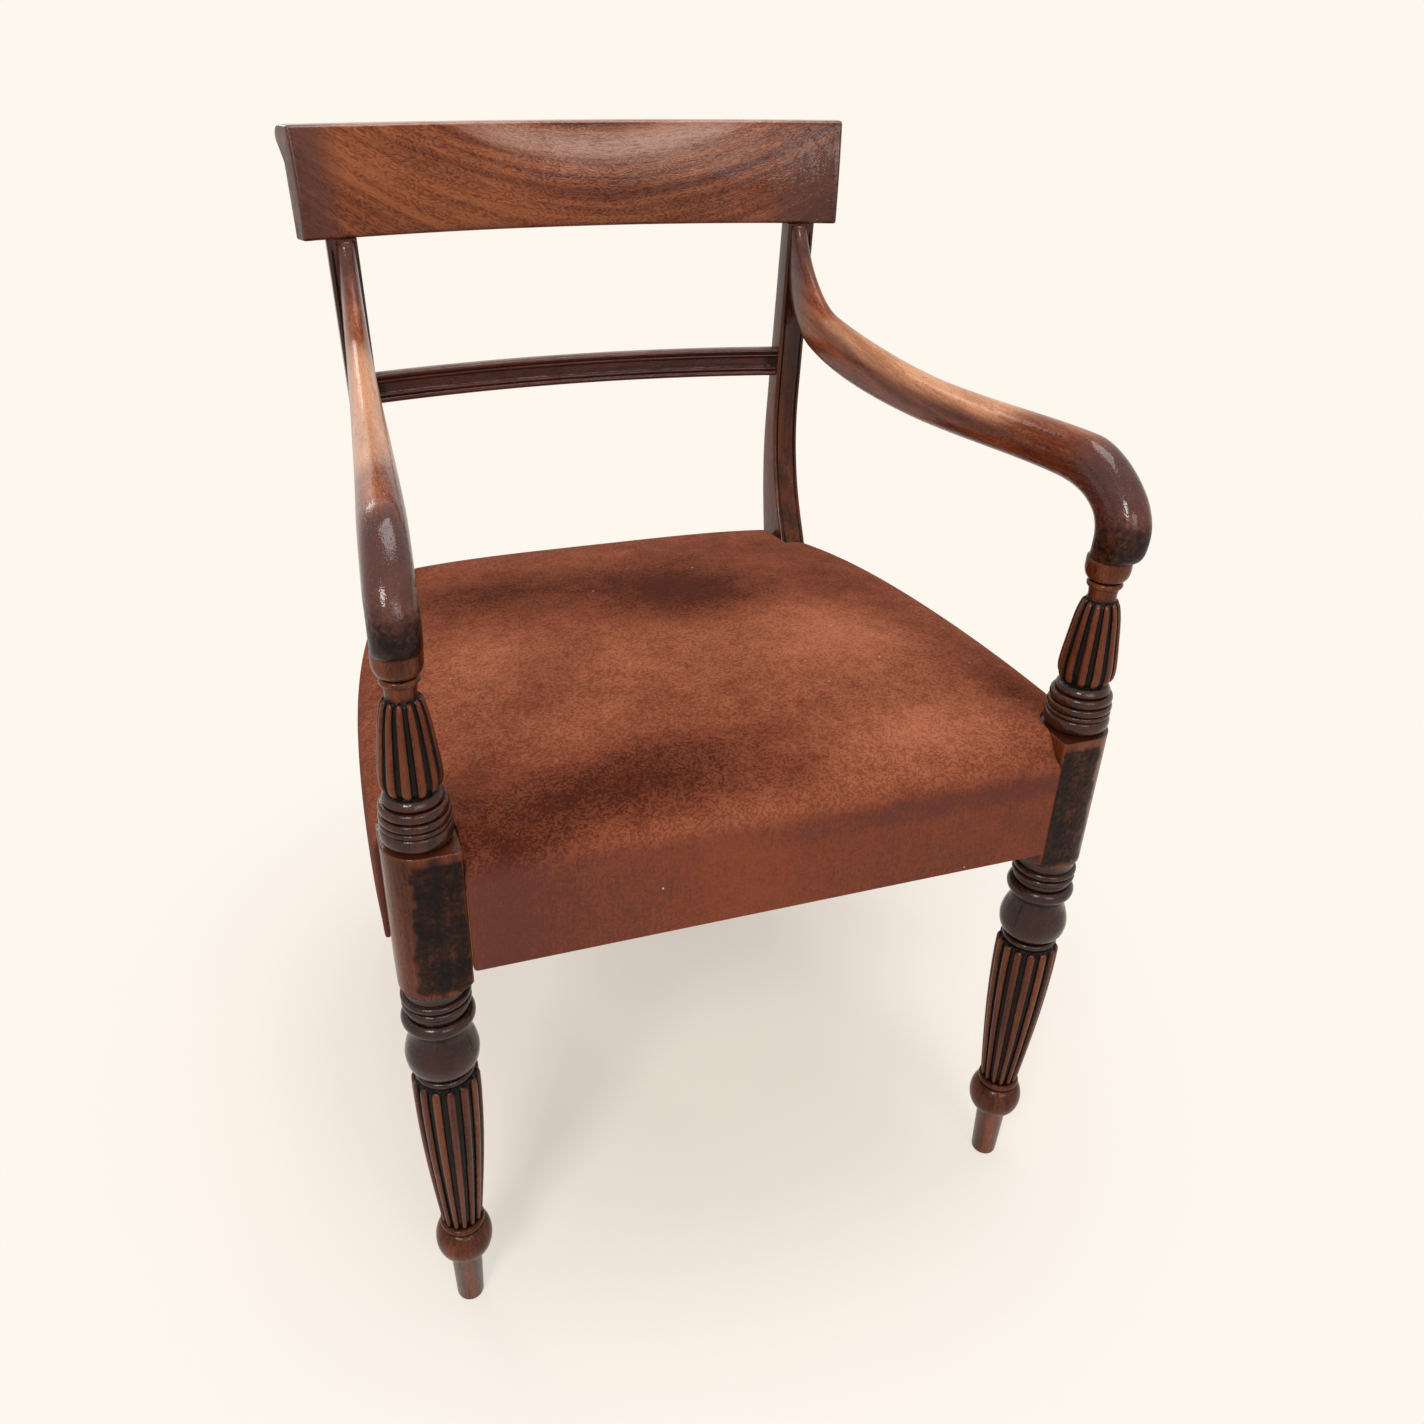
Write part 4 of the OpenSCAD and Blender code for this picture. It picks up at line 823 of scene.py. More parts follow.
@dataclass
class FrontLeg:
    """One front leg: a single turning with a square block, two reeded lengths and a spigot.

    A feature's numbers are its heights and then its radii. The block's last number is half its width,
    and the spigot's numbers are its radius and its length.
    """

    side: Side
    place: Place
    finish: Material
    around: int = 252
    foot: tuple[float, float, float] = (59.0, 11.0, 12.8)
    ankle: tuple[float, float] = (92.0, 22.8)
    ring: tuple[float, float] = (99.0, 17.8)
    shaft: tuple[float, float, float] = (262.0, 16.2, 25.6)
    shaft_reeds: int = 14
    shaft_depth: float = 3.1
    vase: tuple[float, float, float] = (270.0, 314.0, 27.1)
    vase_shape: tuple = (
        (0.0, 7.5), (0.045, 6.3), (0.07, 4.4), (0.115, 2.5), (0.18, 1.1), (0.27, 0.3), (0.385, 0.0),
        (0.5, 0.8), (0.59, 1.9), (0.68, 3.3), (0.75, 4.5), (0.84, 5.5), (0.93, 5.9), (0.99, 5.7),
    )
    torus: tuple[float, float] = (327.0, 26.6)
    block: tuple[float, float, float] = (355.0, BLOCK_TOP, 25.0)
    block_squareness: float = 26.0
    past_corner: float = 14.0
    base: tuple[float, float] = (512.5, 24.0)
    baluster: tuple[float, float] = (578.0, 20.8)
    baluster_reeds: int = 12
    baluster_depth: float = 2.3
    baluster_top_share: float = 0.62
    baluster_shape: tuple = (
        (0.16, 0.995), (0.28, 0.94), (0.44, 0.78), (0.6, 0.62), (0.76, 0.45), (0.89, 0.22), (0.97, 0.03),
    )
    cup: tuple[float, float] = (CUP_TOP, 15.9)
    spigot: tuple[float, float] = (6.0, 22.0)
    crown_share: float = 0.66

    def foot_outline(self) -> Points:
        """Returns the peg foot, the ankle and its ring."""
        foot_h, foot_r, foot_top = self.foot
        ankle_z, ankle_r = self.ankle
        ring_z, ring_r = self.ring
        return [
            *offsets(0, foot_r, ((0, -2.5), (0.3, -1.3), (1, -0.5), (2.6, 0))),
            *offsets(foot_h, foot_top, ((-0.6, 0), (-0.1, 0.3))),
            *bead(foot_h, ankle_z, foot_top + 1, ankle_r, 28), (ankle_z + 0.3, ring_r - 1.6),
            *bead(ankle_z + 0.6, ring_z - 1, ring_r - 1.2, ring_r, 10),
        ]

    def shaft_outline(self) -> Points:
        """Returns the reeded shaft, which widens upwards and rounds off at its top."""
        low, (top, foot_r, top_r) = self.ring[0], self.shaft
        gain = top_r - foot_r
        shares = [0.0, 0.004, 0.009, 0.015, 0.025, 0.04, *np.linspace(0.06, 0.9, 36)]
        rounding = (
            (-13, -0.1), (-10, -0.1), (-8, -0.1), (-6.5, -0.15), (-5.2, -0.2), (-4.2, -0.3), (-3.3, -0.4),
            (-2.5, -0.5), (-1.8, -0.6), (-1.2, -0.7), (-0.7, -0.8), (-0.3, -0.9), (0, -1),
        )
        return [
            *((low + t * (top - low), foot_r + gain * math.sin(math.radians(95 * t))) for t in shares),
            *offsets(top, top_r, rounding),
        ]

    def neck_outline(self) -> Points:
        """Returns the bead over the shaft, the vase, the large torus, the two fine rings and the cove."""
        shaft_z, _, shaft_r = self.shaft
        vase_z, torus_z, vase_r = self.vase
        t, r = self.torus
        vase = [(vase_z + share * (torus_z - vase_z), vase_r - inset) for share, inset in self.vase_shape]
        return [
            (shaft_z + 0.3, shaft_r - 4.6),
            *bead(shaft_z + 1.2, vase_z - 1, shaft_r - 6.4, shaft_r - 3.6, 12), *flowing(vase),
            (torus_z + 0.1, r - 5.6), *bead(torus_z + 0.5, t - 0.5, r - 5, r, 22),
            *offsets(t, r, ((-0.1, -5.4), (0.5, -4.2), (1, -3.9), (2.8, -3.7), (4.6, -3.6), (5, -4.2))),
            *bead(t + 5.4, t + 10.6, r - 3.8, r - 1.8, 12), (t + 11.3, r - 4.8),
            *bead(t + 12, t + 17.5, r - 3.8, r - 1.6, 12), (t + 17.9, r - 4.4),
            *flowing(offsets(t, r, ((18.8, -4.1), (21, -4), (23.5, -3.7), (25.8, -3), (27.7, -2.3))), 2),
        ]

    def block_outline(self) -> Points:
        """Returns the square block, whose radii reach past its corners except at its rounded ends."""
        low, top, half = self.block
        reach = half + self.past_corner
        rounding = ((0, 0.6), (0.6, 2.6), (2, 4.6), (4, 6.6), (6.5, 8.6), (9.5, 10.6))
        return [
            *offsets(low, half, rounding), (low + 13, reach),
            *((z, reach) for z in np.linspace(low + 18, top - 4, 22)),
            *offsets(top, reach, ((-2, 0), (-1, 0), (-0.45, -0.15), (-0.1, -0.5), (0, -1.1))),
        ]

    def base_outline(self) -> Points:
        """Returns the disc, the three beads and the cove under the baluster."""
        t, r = BLOCK_TOP, self.base[1]
        disc = (
            (0.2, -4.9), (0.6, -4.2), (1.6, -2.6), (3.2, -1.2), (5.5, -0.3), (8, 0), (10.5, -0.3),
            (12.2, -1), (13, -2.2),
        )
        cove = ((31.6, -5), (32.5, -4.3), (33.6, -4), (35, -4.4), (36.8, -5.5), (38.3, -7), (39.2, -8.4))
        return [
            *offsets(t, r, ((0, -3.8), (0.1, -4.6))), *flowing(offsets(t, r, disc), 3),
            (t + 13.2, r - 2.9), *bead(t + 13.4, t + 17, r - 1.8, r - 0.6, 10),
            (t + 17.3, r - 3), *bead(t + 17.6, t + 23.4, r - 2.2, r - 0.5, 12),
            (t + 23.7, r - 4.2), *bead(t + 24, t + 31.2, r - 3.4, r - 1.2, 14),
            (t + 31.4, r - 5.4), *flowing(offsets(t, r, cove), 3),
        ]

    def baluster_outline(self) -> Points:
        """Returns the reeded baluster, full at its foot and slim at its top."""
        low, (top, r) = self.base[0], self.baluster
        top_r = r * self.baluster_top_share
        fit = np.polynomial.Polynomial.fit(*np.transpose(self.baluster_shape), 4)
        shares = np.linspace(0.16, 0.97, 28)
        foot = (
            (0, -3), (0.4, -2.7), (1, -2.4), (1.8, -2), (2.8, -1.5), (4, -1), (5.4, -0.55), (7, -0.3),
            (9, -0.1),
        )
        return [
            *offsets(low, r, foot),
            *((low + t * (top - low), top_r + (r - top_r) * float(fit(t))) for t in shares),
            *offsets(top, top_r, ((-1.6, 0), (-1.1, -0.1), (-0.7, -0.2), (-0.3, -0.4), (0, -0.6))),
        ]

    def cup_outline(self) -> Points:
        """Returns the neck, the collar, the cup and the spigot that goes up into the arm."""
        z, (top, r), (spigot_r, spigot_h) = self.baluster[0], self.cup, self.spigot
        cup_z = z + 15.6
        turn = np.radians(range(8, 91, 8))
        return [
            *offsets(z, r, ((0.3, -5.6), (2, -5.9), (5, -5.9), (8.8, -5.4))),
            *bead(z + 9.4, z + 14.6, r - 5.6, r - 3.3, 12), (cup_z - 0.5, r - 6.2),
            *((cup_z + 9 * (1 - math.cos(a)), r - 4.8 + 4.8 * math.sin(a)) for a in turn),
            *offsets(top, r, ((-3, 0), (-1, -0.1), (-0.3, -0.4), (0, -1.2))),
            (top, spigot_r + 0.5), (top + 0.4, spigot_r), (top + spigot_h, spigot_r),
        ]

    def outline(self) -> np.ndarray:
        """Returns rows of height, radius and the number of the kind of turning."""
        runs = (
            (self.foot_outline(), Turning.PLAIN), (self.shaft_outline(), Turning.SHAFT),
            (self.neck_outline(), Turning.PLAIN), (self.block_outline(), Turning.BLOCK),
            (self.base_outline(), Turning.PLAIN), (self.baluster_outline(), Turning.BALUSTER),
            (self.cup_outline(), Turning.PLAIN),
        )
        return np.array([(z, r, kind.value) for points, kind in runs for z, r in points], float)

    def square(self, angles: np.ndarray) -> np.ndarray:
        """Returns the block's radius at each angle, its outer front corner rounded to the turned part."""
        half, sharp = self.block[2], self.block_squareness
        c, s = np.cos(angles), np.sin(angles)
        square = half / (np.abs(c) ** sharp + np.abs(s) ** sharp) ** (1 / sharp)
        return np.where((c > 0) & (s < 0), half, square)

    def stain(self, z: np.ndarray, sideways: np.ndarray, forward: np.ndarray) -> np.ndarray:
        """Returns how far the ragged dark stain covers each point of the block's front."""
        low, top, half = self.block
        up = (z - low) / (top - low)
        ragged = 1.6 * np.sin(z / 5.3) + 1.2 * np.sin(z / 2.1 + 1) + 5 * up
        across = smooth(sideways, -24.8, -23.4) * smooth(-sideways - ragged, -15.5, -11.5)
        return across * (forward < -0.7 * half) * smooth(up, 0.0, 0.05) * smooth(1 - up, 0.02, 0.07)

    def tones(self, rows: np.ndarray, radii: np.ndarray, angles: np.ndarray) -> np.ndarray:
        """Returns each point's dirt with painted shade, its wear with a painted highlight on the block's top
        edge, and its painted reflection.
        """
        z, r, kind = rows.T
        on_block = kind == Turning.BLOCK.value
        near = np.exp(-((z[:, None] - z[None]) / 5.0) ** 2) * (np.gradient(z)[None] + 0.05)
        proud = np.where(on_block, 0, r - (near @ np.minimum(r, 26)) / near.sum(1))
        low, top, half = self.block
        vase_z, torus_z, _ = self.vase
        turned = (z > self.shaft[0]) & (z < low)
        foot, base, cup = z < self.foot[0], (z > top) & (z < self.base[0]), z > self.baluster[0]
        # Darker in the hollows between the beads and a little over the turned length: dirt and painted shade.
        grime_and_shade = smooth(-proud, 0.1, 2.2) * 0.9 + 0.12 * turned
        grime_and_shade += 0.2 * smooth(z, vase_z + 18, vase_z + 30) * (z < torus_z)
        wear_and_sheen = smooth(proud, 0.4, 3.2) * 0.5 + 0.5 * hump(z, vase_z + 12, 9.0) + 0.12 * foot
        wear_and_sheen[cup] *= 0.5
        # The turned lengths and the beads take more of the dark painted reflection, and more gloss.
        gloss_and_reflection = np.full(len(z), 0.3)
        for part, amount in ((turned, 0.85), (base, 0.7), (foot, 0.0), (on_block, 0.15)):
            gloss_and_reflection[part] = amount
        grime_and_shade, wear_and_sheen, gloss_and_reflection = (np.repeat(values[:, None], len(angles), 1) for values in (grime_and_shade, wear_and_sheen, gloss_and_reflection))
        sideways, forward = radii * np.cos(angles), radii * np.sin(angles)
        edge = np.minimum(np.abs(sideways), np.abs(forward)) / half
        corner = smooth(edge, 0.86, 0.97) + smooth((z - low) / (top - low), 0.975, 0.999)[:, None]
        grime_and_shade[on_block] = 0.1 + 0.5 * self.stain(z[:, None], sideways, forward)[on_block]
        wear_and_sheen[on_block] = np.clip(0.28 + 0.5 * corner, 0, 1)[on_block]
        # The block's top edge is made a bright ledge: a painted highlight.
        lid = np.abs(z - top) < 0.2
        grime_and_shade[lid], wear_and_sheen[lid], gloss_and_reflection[lid] = 0.0, 1.0, 0.7
        return np.stack([np.clip(grime_and_shade, 0, 1), np.clip(wear_and_sheen, 0, 1), gloss_and_reflection], -1)

    def reed_ends(self, rows: np.ndarray) -> dict[str, np.ndarray]:
        """Returns the nearness to a reed's end, from 0 at the end to 1 well inside, and -1 off the reeds."""
        z, r, kind = rows.T
        marks = {}
        for key, turning, start, top, reeds in (
                ("shaft_end", Turning.SHAFT, self.ring[0], self.shaft[0], self.shaft_reeds),
                ("baluster_end", Turning.BALUSTER, self.base[0], self.baluster[0], self.baluster_reeds)):
            run = np.minimum(z - start, top - z) / (math.pi * r / reeds * 0.8)
            end = np.where(kind == turning.value, np.clip(run, 0, 1), -1.0)
            marks[key] = np.repeat(end[:, None], self.around, 1)
        return marks

    def build(self, reeding: Reeding) -> bpy.types.Object:
        """Makes the leg and carves its reeds."""
        rows = self.outline()
        z, r, kind = rows.T
        angles = np.arange(self.around) * 2 * math.pi / self.around
        radii = np.repeat(r[:, None], self.around, 1)
        reach = self.block[2] + self.past_corner
        square = np.minimum(self.square(angles)[None], np.minimum(radii, reach))
        drawn = np.maximum(0, reach - radii[:, :1]) * (z > self.block[1] - 3)[:, None]
        radii = np.where(kind[:, None] == Turning.BLOCK.value, square - drawn, radii)
        sign = self.side.value
        x, y = sign * (LEG_X + radii * np.cos(angles)), radii * np.sin(angles)
        x, y, z = np.broadcast_arrays(x, y, z[:, None])
        rings, grain = np.stack([x, y, z], -1), np.stack([z, x + 40 * sign, y], -1) * MM
        shell = Shell(rings, grain, self.tones(rows, radii, angles))
        leg = shell.build(f"turned_leg_{self.side.word}", self.place, self.finish, self.reed_ends(rows))
        axis = self.place.metres(np.array([sign * LEG_X, 0.0, 0.0]))
        reeding.run(leg, {
            "Axis": axis.tolist(),
            "Shaft reeds": float(self.shaft_reeds),
            "Shaft depth": self.shaft_depth * MM,
            "Baluster reeds": float(self.baluster_reeds),
            "Baluster depth": self.baluster_depth * MM,
            "Crown share": self.crown_share,
            "Finish": self.finish,
        })
        mesh = leg.data
        tone, sunk = read_mark(mesh, "tone"), read_mark(mesh, "sunk")
        # Dark in the reeds' grooves, dirt and painted shade, and lighter on their crowns.
        tone[:, 0] = np.where(sunk > 0.02, 1.15 * smooth(sunk, 0.3, 0.85), tone[:, 0])
        tone[:, 1] += 0.6 * (sunk > 0.0005) * smooth(1 - sunk, 0.7, 0.97)
        write_mark(mesh, "tone", tone)
        for key in ("sunk", "shaft_end", "baluster_end"):
            mesh.attributes.remove(mesh.attributes[key])
        return finish_piece(leg, "mahogany", f"front_leg_{self.side.word}")


@dataclass
class Arm:
    """One arm: scooped down from the back post, level in the middle and rolled down over the front leg."""

    side: Side
    place: Place
    finish: Material
    inward: float = 29.25
    nose: float = 26.5
    heel: float = 12.5
    widths: tuple[float, ...] = (8.2, 11.0, 13.8, 15.25, 15.7, 15.7)
    steps: tuple[int, ...] = (36, 28, 20, 40, 14)
    around: int = 72
    soft: float = 0.84
    end_shrink: tuple[float, ...] = (0.998, 0.99, 0.975, 0.95)

    def point(self, run: float, rise: float) -> list[float]:
        """Returns depth and height for shares of the arm's run and rise."""
        return [run * BACK_RUN, CUP_TOP + rise * (CREST_Z - CUP_TOP)]

    def edges(self) -> tuple[list, list]:
        """Returns the curves of the arm's upper and lower edges in the side view."""
        at, top, nose, heel = self.point, CUP_TOP, self.nose, self.heel
        rise = CREST_Z - top
        upper = [
            [at(0.985, 0.984), at(0.957, 0.771), at(0.888, 0.585), at(0.8335, 0.548)],
            [at(0.8335, 0.548), at(0.779, 0.511), at(0.598, 0.438), at(0.4586, 0.438)],
            [at(0.4586, 0.438), at(0.329, 0.438), at(0.19, 0.48), at(0.08, 0.48)],
            [at(0.08, 0.48), at(0.028, 0.48), [-nose, top + 0.3 * rise], [-nose, top + 22]],
            [[-nose, top + 22], [-nose, top + 11], [2 - nose, top + 4], [8 - nose, top]],
        ]
        lower = [
            [at(1.045, 0.984), at(1.041, 0.639), at(0.997, 0.376), at(0.901, 0.301)],
            [at(0.901, 0.301), at(0.806, 0.219), at(0.678, 0.194), at(0.548, 0.194)],
            [at(0.548, 0.194), at(0.399, 0.194), at(0.239, 0.251), at(0.124, 0.251)],
            [at(0.124, 0.251), at(0.066, 0.251), [heel, top + 0.2 * rise], [heel, top + 12]],
            [[heel, top + 12], [heel, top + 8], [heel, top + 4], [heel, top]],
        ]
        return upper, lower

    def build(self) -> bpy.types.Object:
        """Makes the arm."""
        upper, lower = self.edges()
        high, low, wide = [], [], []
        for k, count in enumerate(self.steps):
            shares = np.arange(count + (k == len(self.steps) - 1)) / count
            high.append(bezier(upper[k], shares))
            low.append(bezier(lower[k], shares))
            wide.append(self.widths[k] + (self.widths[k + 1] - self.widths[k]) * shares)
        high, low, wide = np.concatenate(high), np.concatenate(low), np.concatenate(wide)
        shrink = np.ones(len(wide))
        shrink[-len(self.end_shrink):] = self.end_shrink
        high, low = (np.concatenate([[edge[0] + [0, 1.6]], edge]) for edge in (high, low))
        wide, shrink = np.concatenate([wide[:1], wide]), np.concatenate([[0.86], shrink])
        middle, reach = (high + low) / 2, (high - low) / 2
        a = np.arange(self.around) * 2 * math.pi / self.around
        across = power_sign(np.cos(a), self.soft)[None] * (wide * shrink)[:, None]
        up = power_sign(np.sin(a), self.soft)[None] * shrink[:, None]
        line_x = LEG_X - self.inward * (np.maximum(0, middle[:, 0]) / BACK_RUN) ** 0.9
        sign = self.side.value
        rings = np.stack([
            sign * (line_x[:, None] + across),
            np.minimum(middle[:, :1] + reach[:, :1] * up, BACK_RUN),
            middle[:, 1:] + reach[:, 1:] * up
        ], -1)
        x, depth, height = np.moveaxis(rings, -1, 0)
        grain = np.stack([depth, height - 0.00035 * (depth - 120) ** 2, x + 90 * sign], -1) * MM
        shell = Shell(rings, grain, self.tones(rings, up))
        arm = shell.build(f"scrolled_arm_{self.side.word}", self.place, self.finish)
        return finish_piece(arm, "mahogany", f"arm_{self.side.word}", sharp=42.0)

    def tones(self, rings: np.ndarray, up: np.ndarray) -> np.ndarray:
        """Returns each point's dirt with painted shade, its wear with painted sheen, and its painted
        reflection.
        """
        depth, height = rings[..., 1], rings[..., 2]
        along = smooth(depth, 60, 170) * smooth(-depth, -470, -330)
        top = smooth(up, -0.2, 0.85)
        # Lighter along the arm's top: wear and painted sheen.
        wear_and_sheen = along * (0.18 + 0.82 * top)
        front = smooth(-depth, -75, 5)
        # The scroll's front and the end by the post take the purplish painted reflection and more gloss.
        gloss_and_reflection = front * (0.45 + 0.55 * smooth(height - 640, -15, 30))
        gloss_and_reflection = np.maximum(gloss_and_reflection, smooth(depth, 430, 490) * 0.7)
        # Darker towards the bottom of the scroll and by the post, and darker underneath with painted shade.
        grime_and_shade = 0.62 * smooth(-height, -672, -622) * front + 0.3 * smooth(depth, 455, 495)
        grime_and_shade = np.maximum(grime_and_shade, 0.5 * smooth(-up, 0.75, 1.0) * along)
        return np.stack([np.clip(grime_and_shade, 0, 1), wear_and_sheen, gloss_and_reflection], -1)


@dataclass
class BackPost:
    """One back post, from the rear foot to the crest rail, with two grooves up its front."""

    side: Side
    place: Place
    finish: Material
    width: float = 27.0
    inner_x: float = 200.0
    splay: float = 8.5
    knee: tuple[float, float, float] = (437.0, 412.0, 52.0)
    foot: tuple[float, float] = (20.5, 26.0)
    top_depth: float = 21.5
    groove: tuple[float, float, float] = (4.2, 0.85, 1.25)
    corners: tuple[float, float] = (2.4, 3.5)
    foot_shares: tuple[float, float] = (0.93, 0.98)

    def side_view(self) -> tuple[np.ndarray, np.ndarray]:
        """Returns the front and back edges, each as rows of depth and height."""
        knee_y, knee_z, knee_d = self.knee
        reach, foot_d = self.foot
        run, straight = BACK_RUN, RAIL_TOP + 160
        shares = np.linspace(0, 1, 60)
        front = np.concatenate([
            bezier([[run + reach, 0], [run - 4.5, 120], [knee_y, knee_z - 110], [knee_y, knee_z]], shares),
            bezier([[knee_y, knee_z], [knee_y, knee_z + 40], [run, knee_z + 80], [run, straight]],
                   shares[1:]),
            [[run, CREST_Z]]
        ])
        back_x = run + self.top_depth
        back = np.concatenate([
            [[back_x, CREST_Z]],
            bezier([[back_x + 3, straight - 25], [back_x + 4, knee_z + 70], [knee_y + knee_d, knee_z + 10],
                    [knee_y + knee_d, knee_z - 60]], shares),
            bezier([[knee_y + knee_d, knee_z - 60], [knee_y + knee_d, knee_z - 160], [run + reach + 8, 110],
                    [run + reach + foot_d, 0]], shares[1:])
        ])[::-1]
        return front, back

    def section(self) -> tuple[np.ndarray, np.ndarray, np.ndarray]:
        """Returns the section as shares across, shares from front to back, and depths cut into the front."""
        w, (at, half, deep) = self.width, self.groove
        corner, back_corner = self.corners
        front = np.unique(np.concatenate([
            np.linspace(corner, w - corner, 15),
            *[centre + np.linspace(-1.15, 1.15, 9) * half for centre in (at, w - at)]
        ]))
        cut = np.zeros_like(front)
        for centre in (at, w - at):
            cut = np.maximum(cut, deep * np.sqrt(np.maximum(0, 1 - ((front - centre) / half) ** 2)))
        arc = np.radians(np.linspace(15, 75, 4))
        x = np.concatenate([
            front, w - corner + corner * np.sin(arc), [w, w, w], w - back_corner + back_corner * np.cos(arc),
            np.linspace(w - back_corner, back_corner, 6), back_corner - back_corner * np.sin(arc), [0, 0, 0],
            corner - corner * np.cos(arc)
        ])
        fixed = np.concatenate([
            cut, corner - corner * np.cos(arc), [corner, 0, -back_corner], back_corner * (np.sin(arc) - 1),
            [0] * 6, back_corner * (np.cos(arc) - 1), [-back_corner, 0, corner], corner - corner * np.sin(arc)
        ])
        share = np.concatenate([[0] * len(front), [0] * 4, [0, 0.5], [1] * 16, [0.5, 0], [0] * 4])
        return x, share, fixed

    def build(self) -> bpy.types.Object:
        """Makes the post."""
        front, back = self.side_view()
        z = np.concatenate([[0, 0.8, 2.5], np.linspace(8, CREST_Z - 0.05, 128)])
        front_y = np.interp(z, front[:, 1], front[:, 0])
        back_y = np.interp(z, back[:, 1], back[:, 0])
        x, share, fixed = self.section()
        corner = self.corners[0]
        groove_part = (share == 0) & (x > corner) & (x < self.width - corner)
        carved = smooth(z, self.knee[1] - 4, self.knee[1] + 20) * smooth(CREST_Z - z, 7, 10)
        cut = np.where(groove_part, carved[:, None] * fixed, fixed)
        depth = front_y[:, None] + share * (back_y - front_y)[:, None] + cut
        inner = self.inner_x + self.splay * np.maximum(0, z - RAIL_TOP) / (CREST_Z - RAIL_TOP)
        sign = self.side.value
        width = inner[:, None] + x
        centre_x, centre_y = width.mean(1, keepdims=True), depth.mean(1, keepdims=True)
        for row, drawn in enumerate(self.foot_shares):
            width[row] = centre_x[row] + (width[row] - centre_x[row]) * drawn
            depth[row] = centre_y[row] + (depth[row] - centre_y[row]) * drawn
        tall = np.repeat(z[:, None], len(x), 1)
        rings = np.stack([sign * width, depth, tall], -1)
        grain = np.stack([tall, depth - 0.0002 * (tall - 420) ** 2, sign * width + 60 * sign], -1) * MM
        in_groove = np.clip(np.where(groove_part, cut / self.groove[2], 0), 0, 1)
        # Dark in the grooves, dirt and painted shade, and darker below the seat.
        grime_and_shade = np.maximum(in_groove * 1.1, 0.25 * smooth(-tall, -520, -470))
        edge = smooth(-np.minimum(x, self.width - x), -1.6, -0.2)[None] * (tall > 460)
        wear_and_sheen = 0.3 * edge * (1 - in_groove) + 0.25
        # More of the dark painted reflection and more gloss towards the top.
        gloss_and_reflection = np.full(grime_and_shade.shape, 0.35) + 0.35 * smooth(tall, 560, 720)
        post = Shell(rings, grain, np.stack([grime_and_shade, wear_and_sheen, gloss_and_reflection], -1)).build(
            f"grooved_post_{self.side.word}", self.place, self.finish)
        return finish_piece(post, "mahogany", f"back_post_{self.side.word}", sharp=32.0)


@dataclass
class BentRail:
    """A rail of one section, bent to an arc that is hollow to the front, with softened ends."""

    name: str
    node: str
    slot: str
    place: Place
    finish: Material
    centre_y: float
    half_angle: float
    outline: np.ndarray
    end_round: float = 1.6
    stations: int = 120
    figure_bend: float = 0.0
    figure_middle: float = 30.0
    tones: Callable[[np.ndarray, np.ndarray, np.ndarray], np.ndarray] = field(kw_only=True)

    def build(self) -> bpy.types.Object:
        """Makes the rail."""
        radius = float(self.outline[:, 0].mean())
        steps = np.radians(np.linspace(0, 90, 5))
        ends = [(self.end_round * (1 - math.cos(a)), self.end_round * (1 - math.sin(a))) for a in steps]
        rows = [(-self.half_angle + run / radius, inset) for run, inset in ends]
        middle = np.linspace(rows[-1][0], -rows[-1][0], self.stations)[1:-1]
        rows = rows + [(a, 0.0) for a in middle] + [(-a, inset) for a, inset in rows[::-1]]
        rings = []
        for angle, inset in rows:
            section = inset_outline(self.outline, inset) if inset else self.outline
            r, z = section.T
            rings.append(np.stack([r * math.sin(angle), self.centre_y + r * math.cos(angle), z], -1))
        rings = np.array(rings)
        along = np.array([a for a, _ in rows])[:, None] * radius * np.ones(len(self.outline))
        across = rings[..., 2] - self.figure_bend * (along - self.figure_middle) ** 2
        grain = np.stack([along, across, self.outline[None, :, 0] - radius + 0 * along], -1) * MM
        tone = self.tones(along, rings[..., 2], self.outline[None, :, 0] + 0 * along)
        rail = Shell(rings, grain, tone).build(self.name, self.place, self.finish)
        return finish_piece(rail, self.slot, self.node, sharp=40.0)


